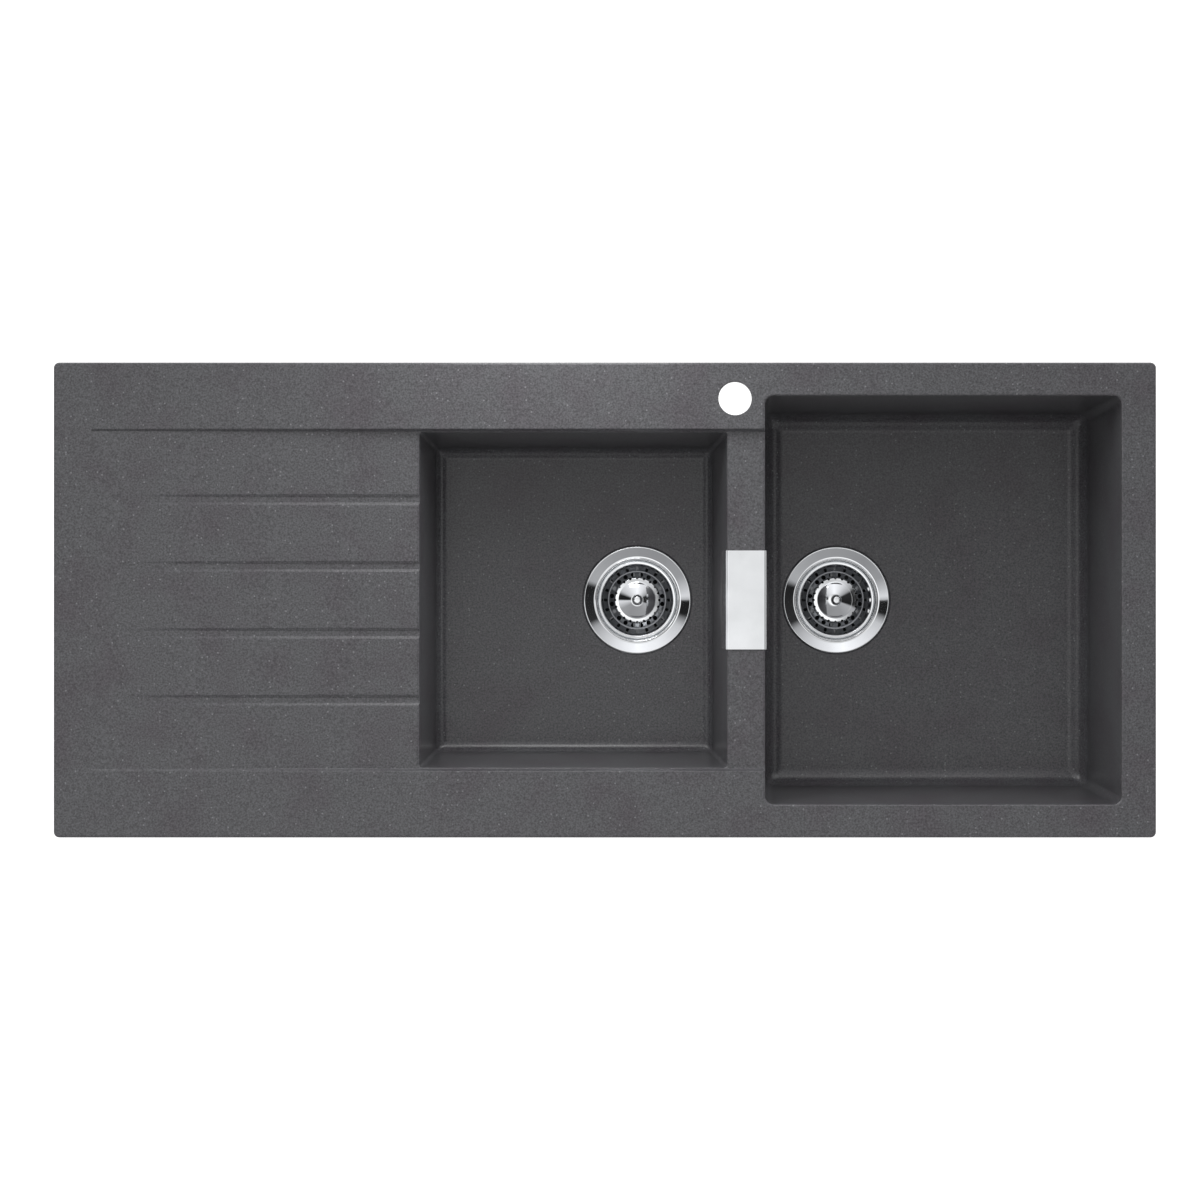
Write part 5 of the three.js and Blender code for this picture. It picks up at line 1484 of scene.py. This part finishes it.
# %% [markdown]
# The light comes from the room itself, in three zones. Low down it is a wide pale wall, brightest
# behind the sink, which lights the deck more than the bowls' floors. Half way up it is a ring of panels:
# polished steel needs something to reflect, and the narrow dark gaps between the panels draw the dark
# patches on the strainers' cones. Overhead hangs one small bright panel, which the saddle shows.

# %% Studio world
OVERHEAD_LEVEL = (0.65, 1.3)  # from its rear right to its front left
LOW_LEVEL = (0.68, 1.85)  # in front and behind
PANELS = ((-180, 0.5), (-175, 0.8), (-165, 0.6), (-150, 0.36), (-120, 0.31), (-60, 0.34), (-30, 0.43),
          (-22, 0.43), (-16, 0.015), (24, 0.03), (32, 0.38), (60, 0.8), (90, 1.15), (120, 0.9), (148, 0.64),
          (155, 0.34), (162, 0.015), (179, 0.015), (180, 0.43))  # degrees from the right, and brightness
OVERHEAD_SPAN = (0.2, -0.2)  # the slant of a direction over which the overhead level changes
LOW_SPAN = (-0.5, 0.8)
WALL_END = (0.59, 0.65)  # the heights of a direction between which the wall gives way to the panels
OVERHEAD_START = (0.945, 0.965)

bpy.context.scene.view_settings.view_transform = "Standard"
world = bpy.data.worlds.new("Studio")
world.use_nodes = True
bpy.context.scene.world = world
tree = world.node_tree
tree.nodes.clear()
heading = add(tree, "ShaderNodeTexCoord")["Generated"]
axes = add(tree, "ShaderNodeSeparateXYZ", {0: heading})
azimuth = add(tree, "ShaderNodeMath", {0: axes["Y"], 1: axes["X"]}, operation="ARCTAN2")[0]
share = add(tree, "ShaderNodeMapRange", {"Value": azimuth, "From Min": -math.pi, "From Max": math.pi})[0]
panels = add(tree, "ShaderNodeValToRGB", {0: share})[0]
ramp = panels.node.color_ramp
for _ in PANELS[1:-1]:
    ramp.elements.new(0.5)
for element, (degrees, level) in zip(ramp.elements, PANELS):
    element.position = (degrees + 180) / 360
    element.color = (level, level, level * 1.02, 1)
slant = add(tree, "ShaderNodeMath", {0: axes["Y"], 1: axes["X"]}, operation="ADD")[0]
spans = [{"Value": value, "From Min": start, "From Max": end, "To Min": least, "To Max": most}
         for value, (start, end), (least, most) in (
             (slant, OVERHEAD_SPAN, OVERHEAD_LEVEL), (axes["Y"], LOW_SPAN, LOW_LEVEL),
             (axes["Z"], WALL_END, (0, 1)), (axes["Z"], OVERHEAD_START, (0, 1)))]
overhead, wall, above, on_top = (add(tree, "ShaderNodeMapRange", span)[0] for span in spans)
top_grey, low_grey = (add(tree, "ShaderNodeCombineColor", {0: level, 1: level, 2: level})[0]
                      for level in (overhead, wall))
lower = add(tree, "ShaderNodeMix", {0: above, 6: low_grey, 7: panels}, data_type="RGBA")[2]
studio = add(tree, "ShaderNodeMix", {0: on_top, 6: lower, 7: top_grey}, data_type="RGBA")[2]
path = add(tree, "ShaderNodeLightPath")
to_camera = {0: path["Is Camera Ray"], 6: studio, 7: (1, 1, 1, 1)}
shown = add(tree, "ShaderNodeMix", to_camera, data_type="RGBA")[2]
sky = add(tree, "ShaderNodeBackground", {"Color": shown, "Strength": 1.0})[0]
add(tree, "ShaderNodeOutputWorld", {"Surface": sky})
print("Studio is set")

# %% [markdown]
# One lamp stands close behind the sink. It lights the middle of the rear deck a little more than the
# rest, and draws the pale lines along the grooves' and the bowls' front edges. Only its light is seen.

# %% Rear lamp
LAMP_PLACE = (-0.05, 0.44, 0.21)
LAMP_AIM = (-0.05, 0.05, -0.05)
LAMP_SIZE = 0.24
LAMP_WATTS = 0.95

lamp_data = bpy.data.lights.new("Rear lamp", "AREA")
lamp_data.size = LAMP_SIZE
lamp_data.energy = LAMP_WATTS
lamp = bpy.data.objects.new("Rear lamp", lamp_data)
lamp.location = LAMP_PLACE
lamp.rotation_euler = (Vector(LAMP_AIM) - Vector(LAMP_PLACE)).to_track_quat("-Z", "Y").to_euler()
lamp.visible_camera = False
bpy.context.scene.collection.objects.link(lamp)
print("The lamp is", LAMP_WATTS, "W")
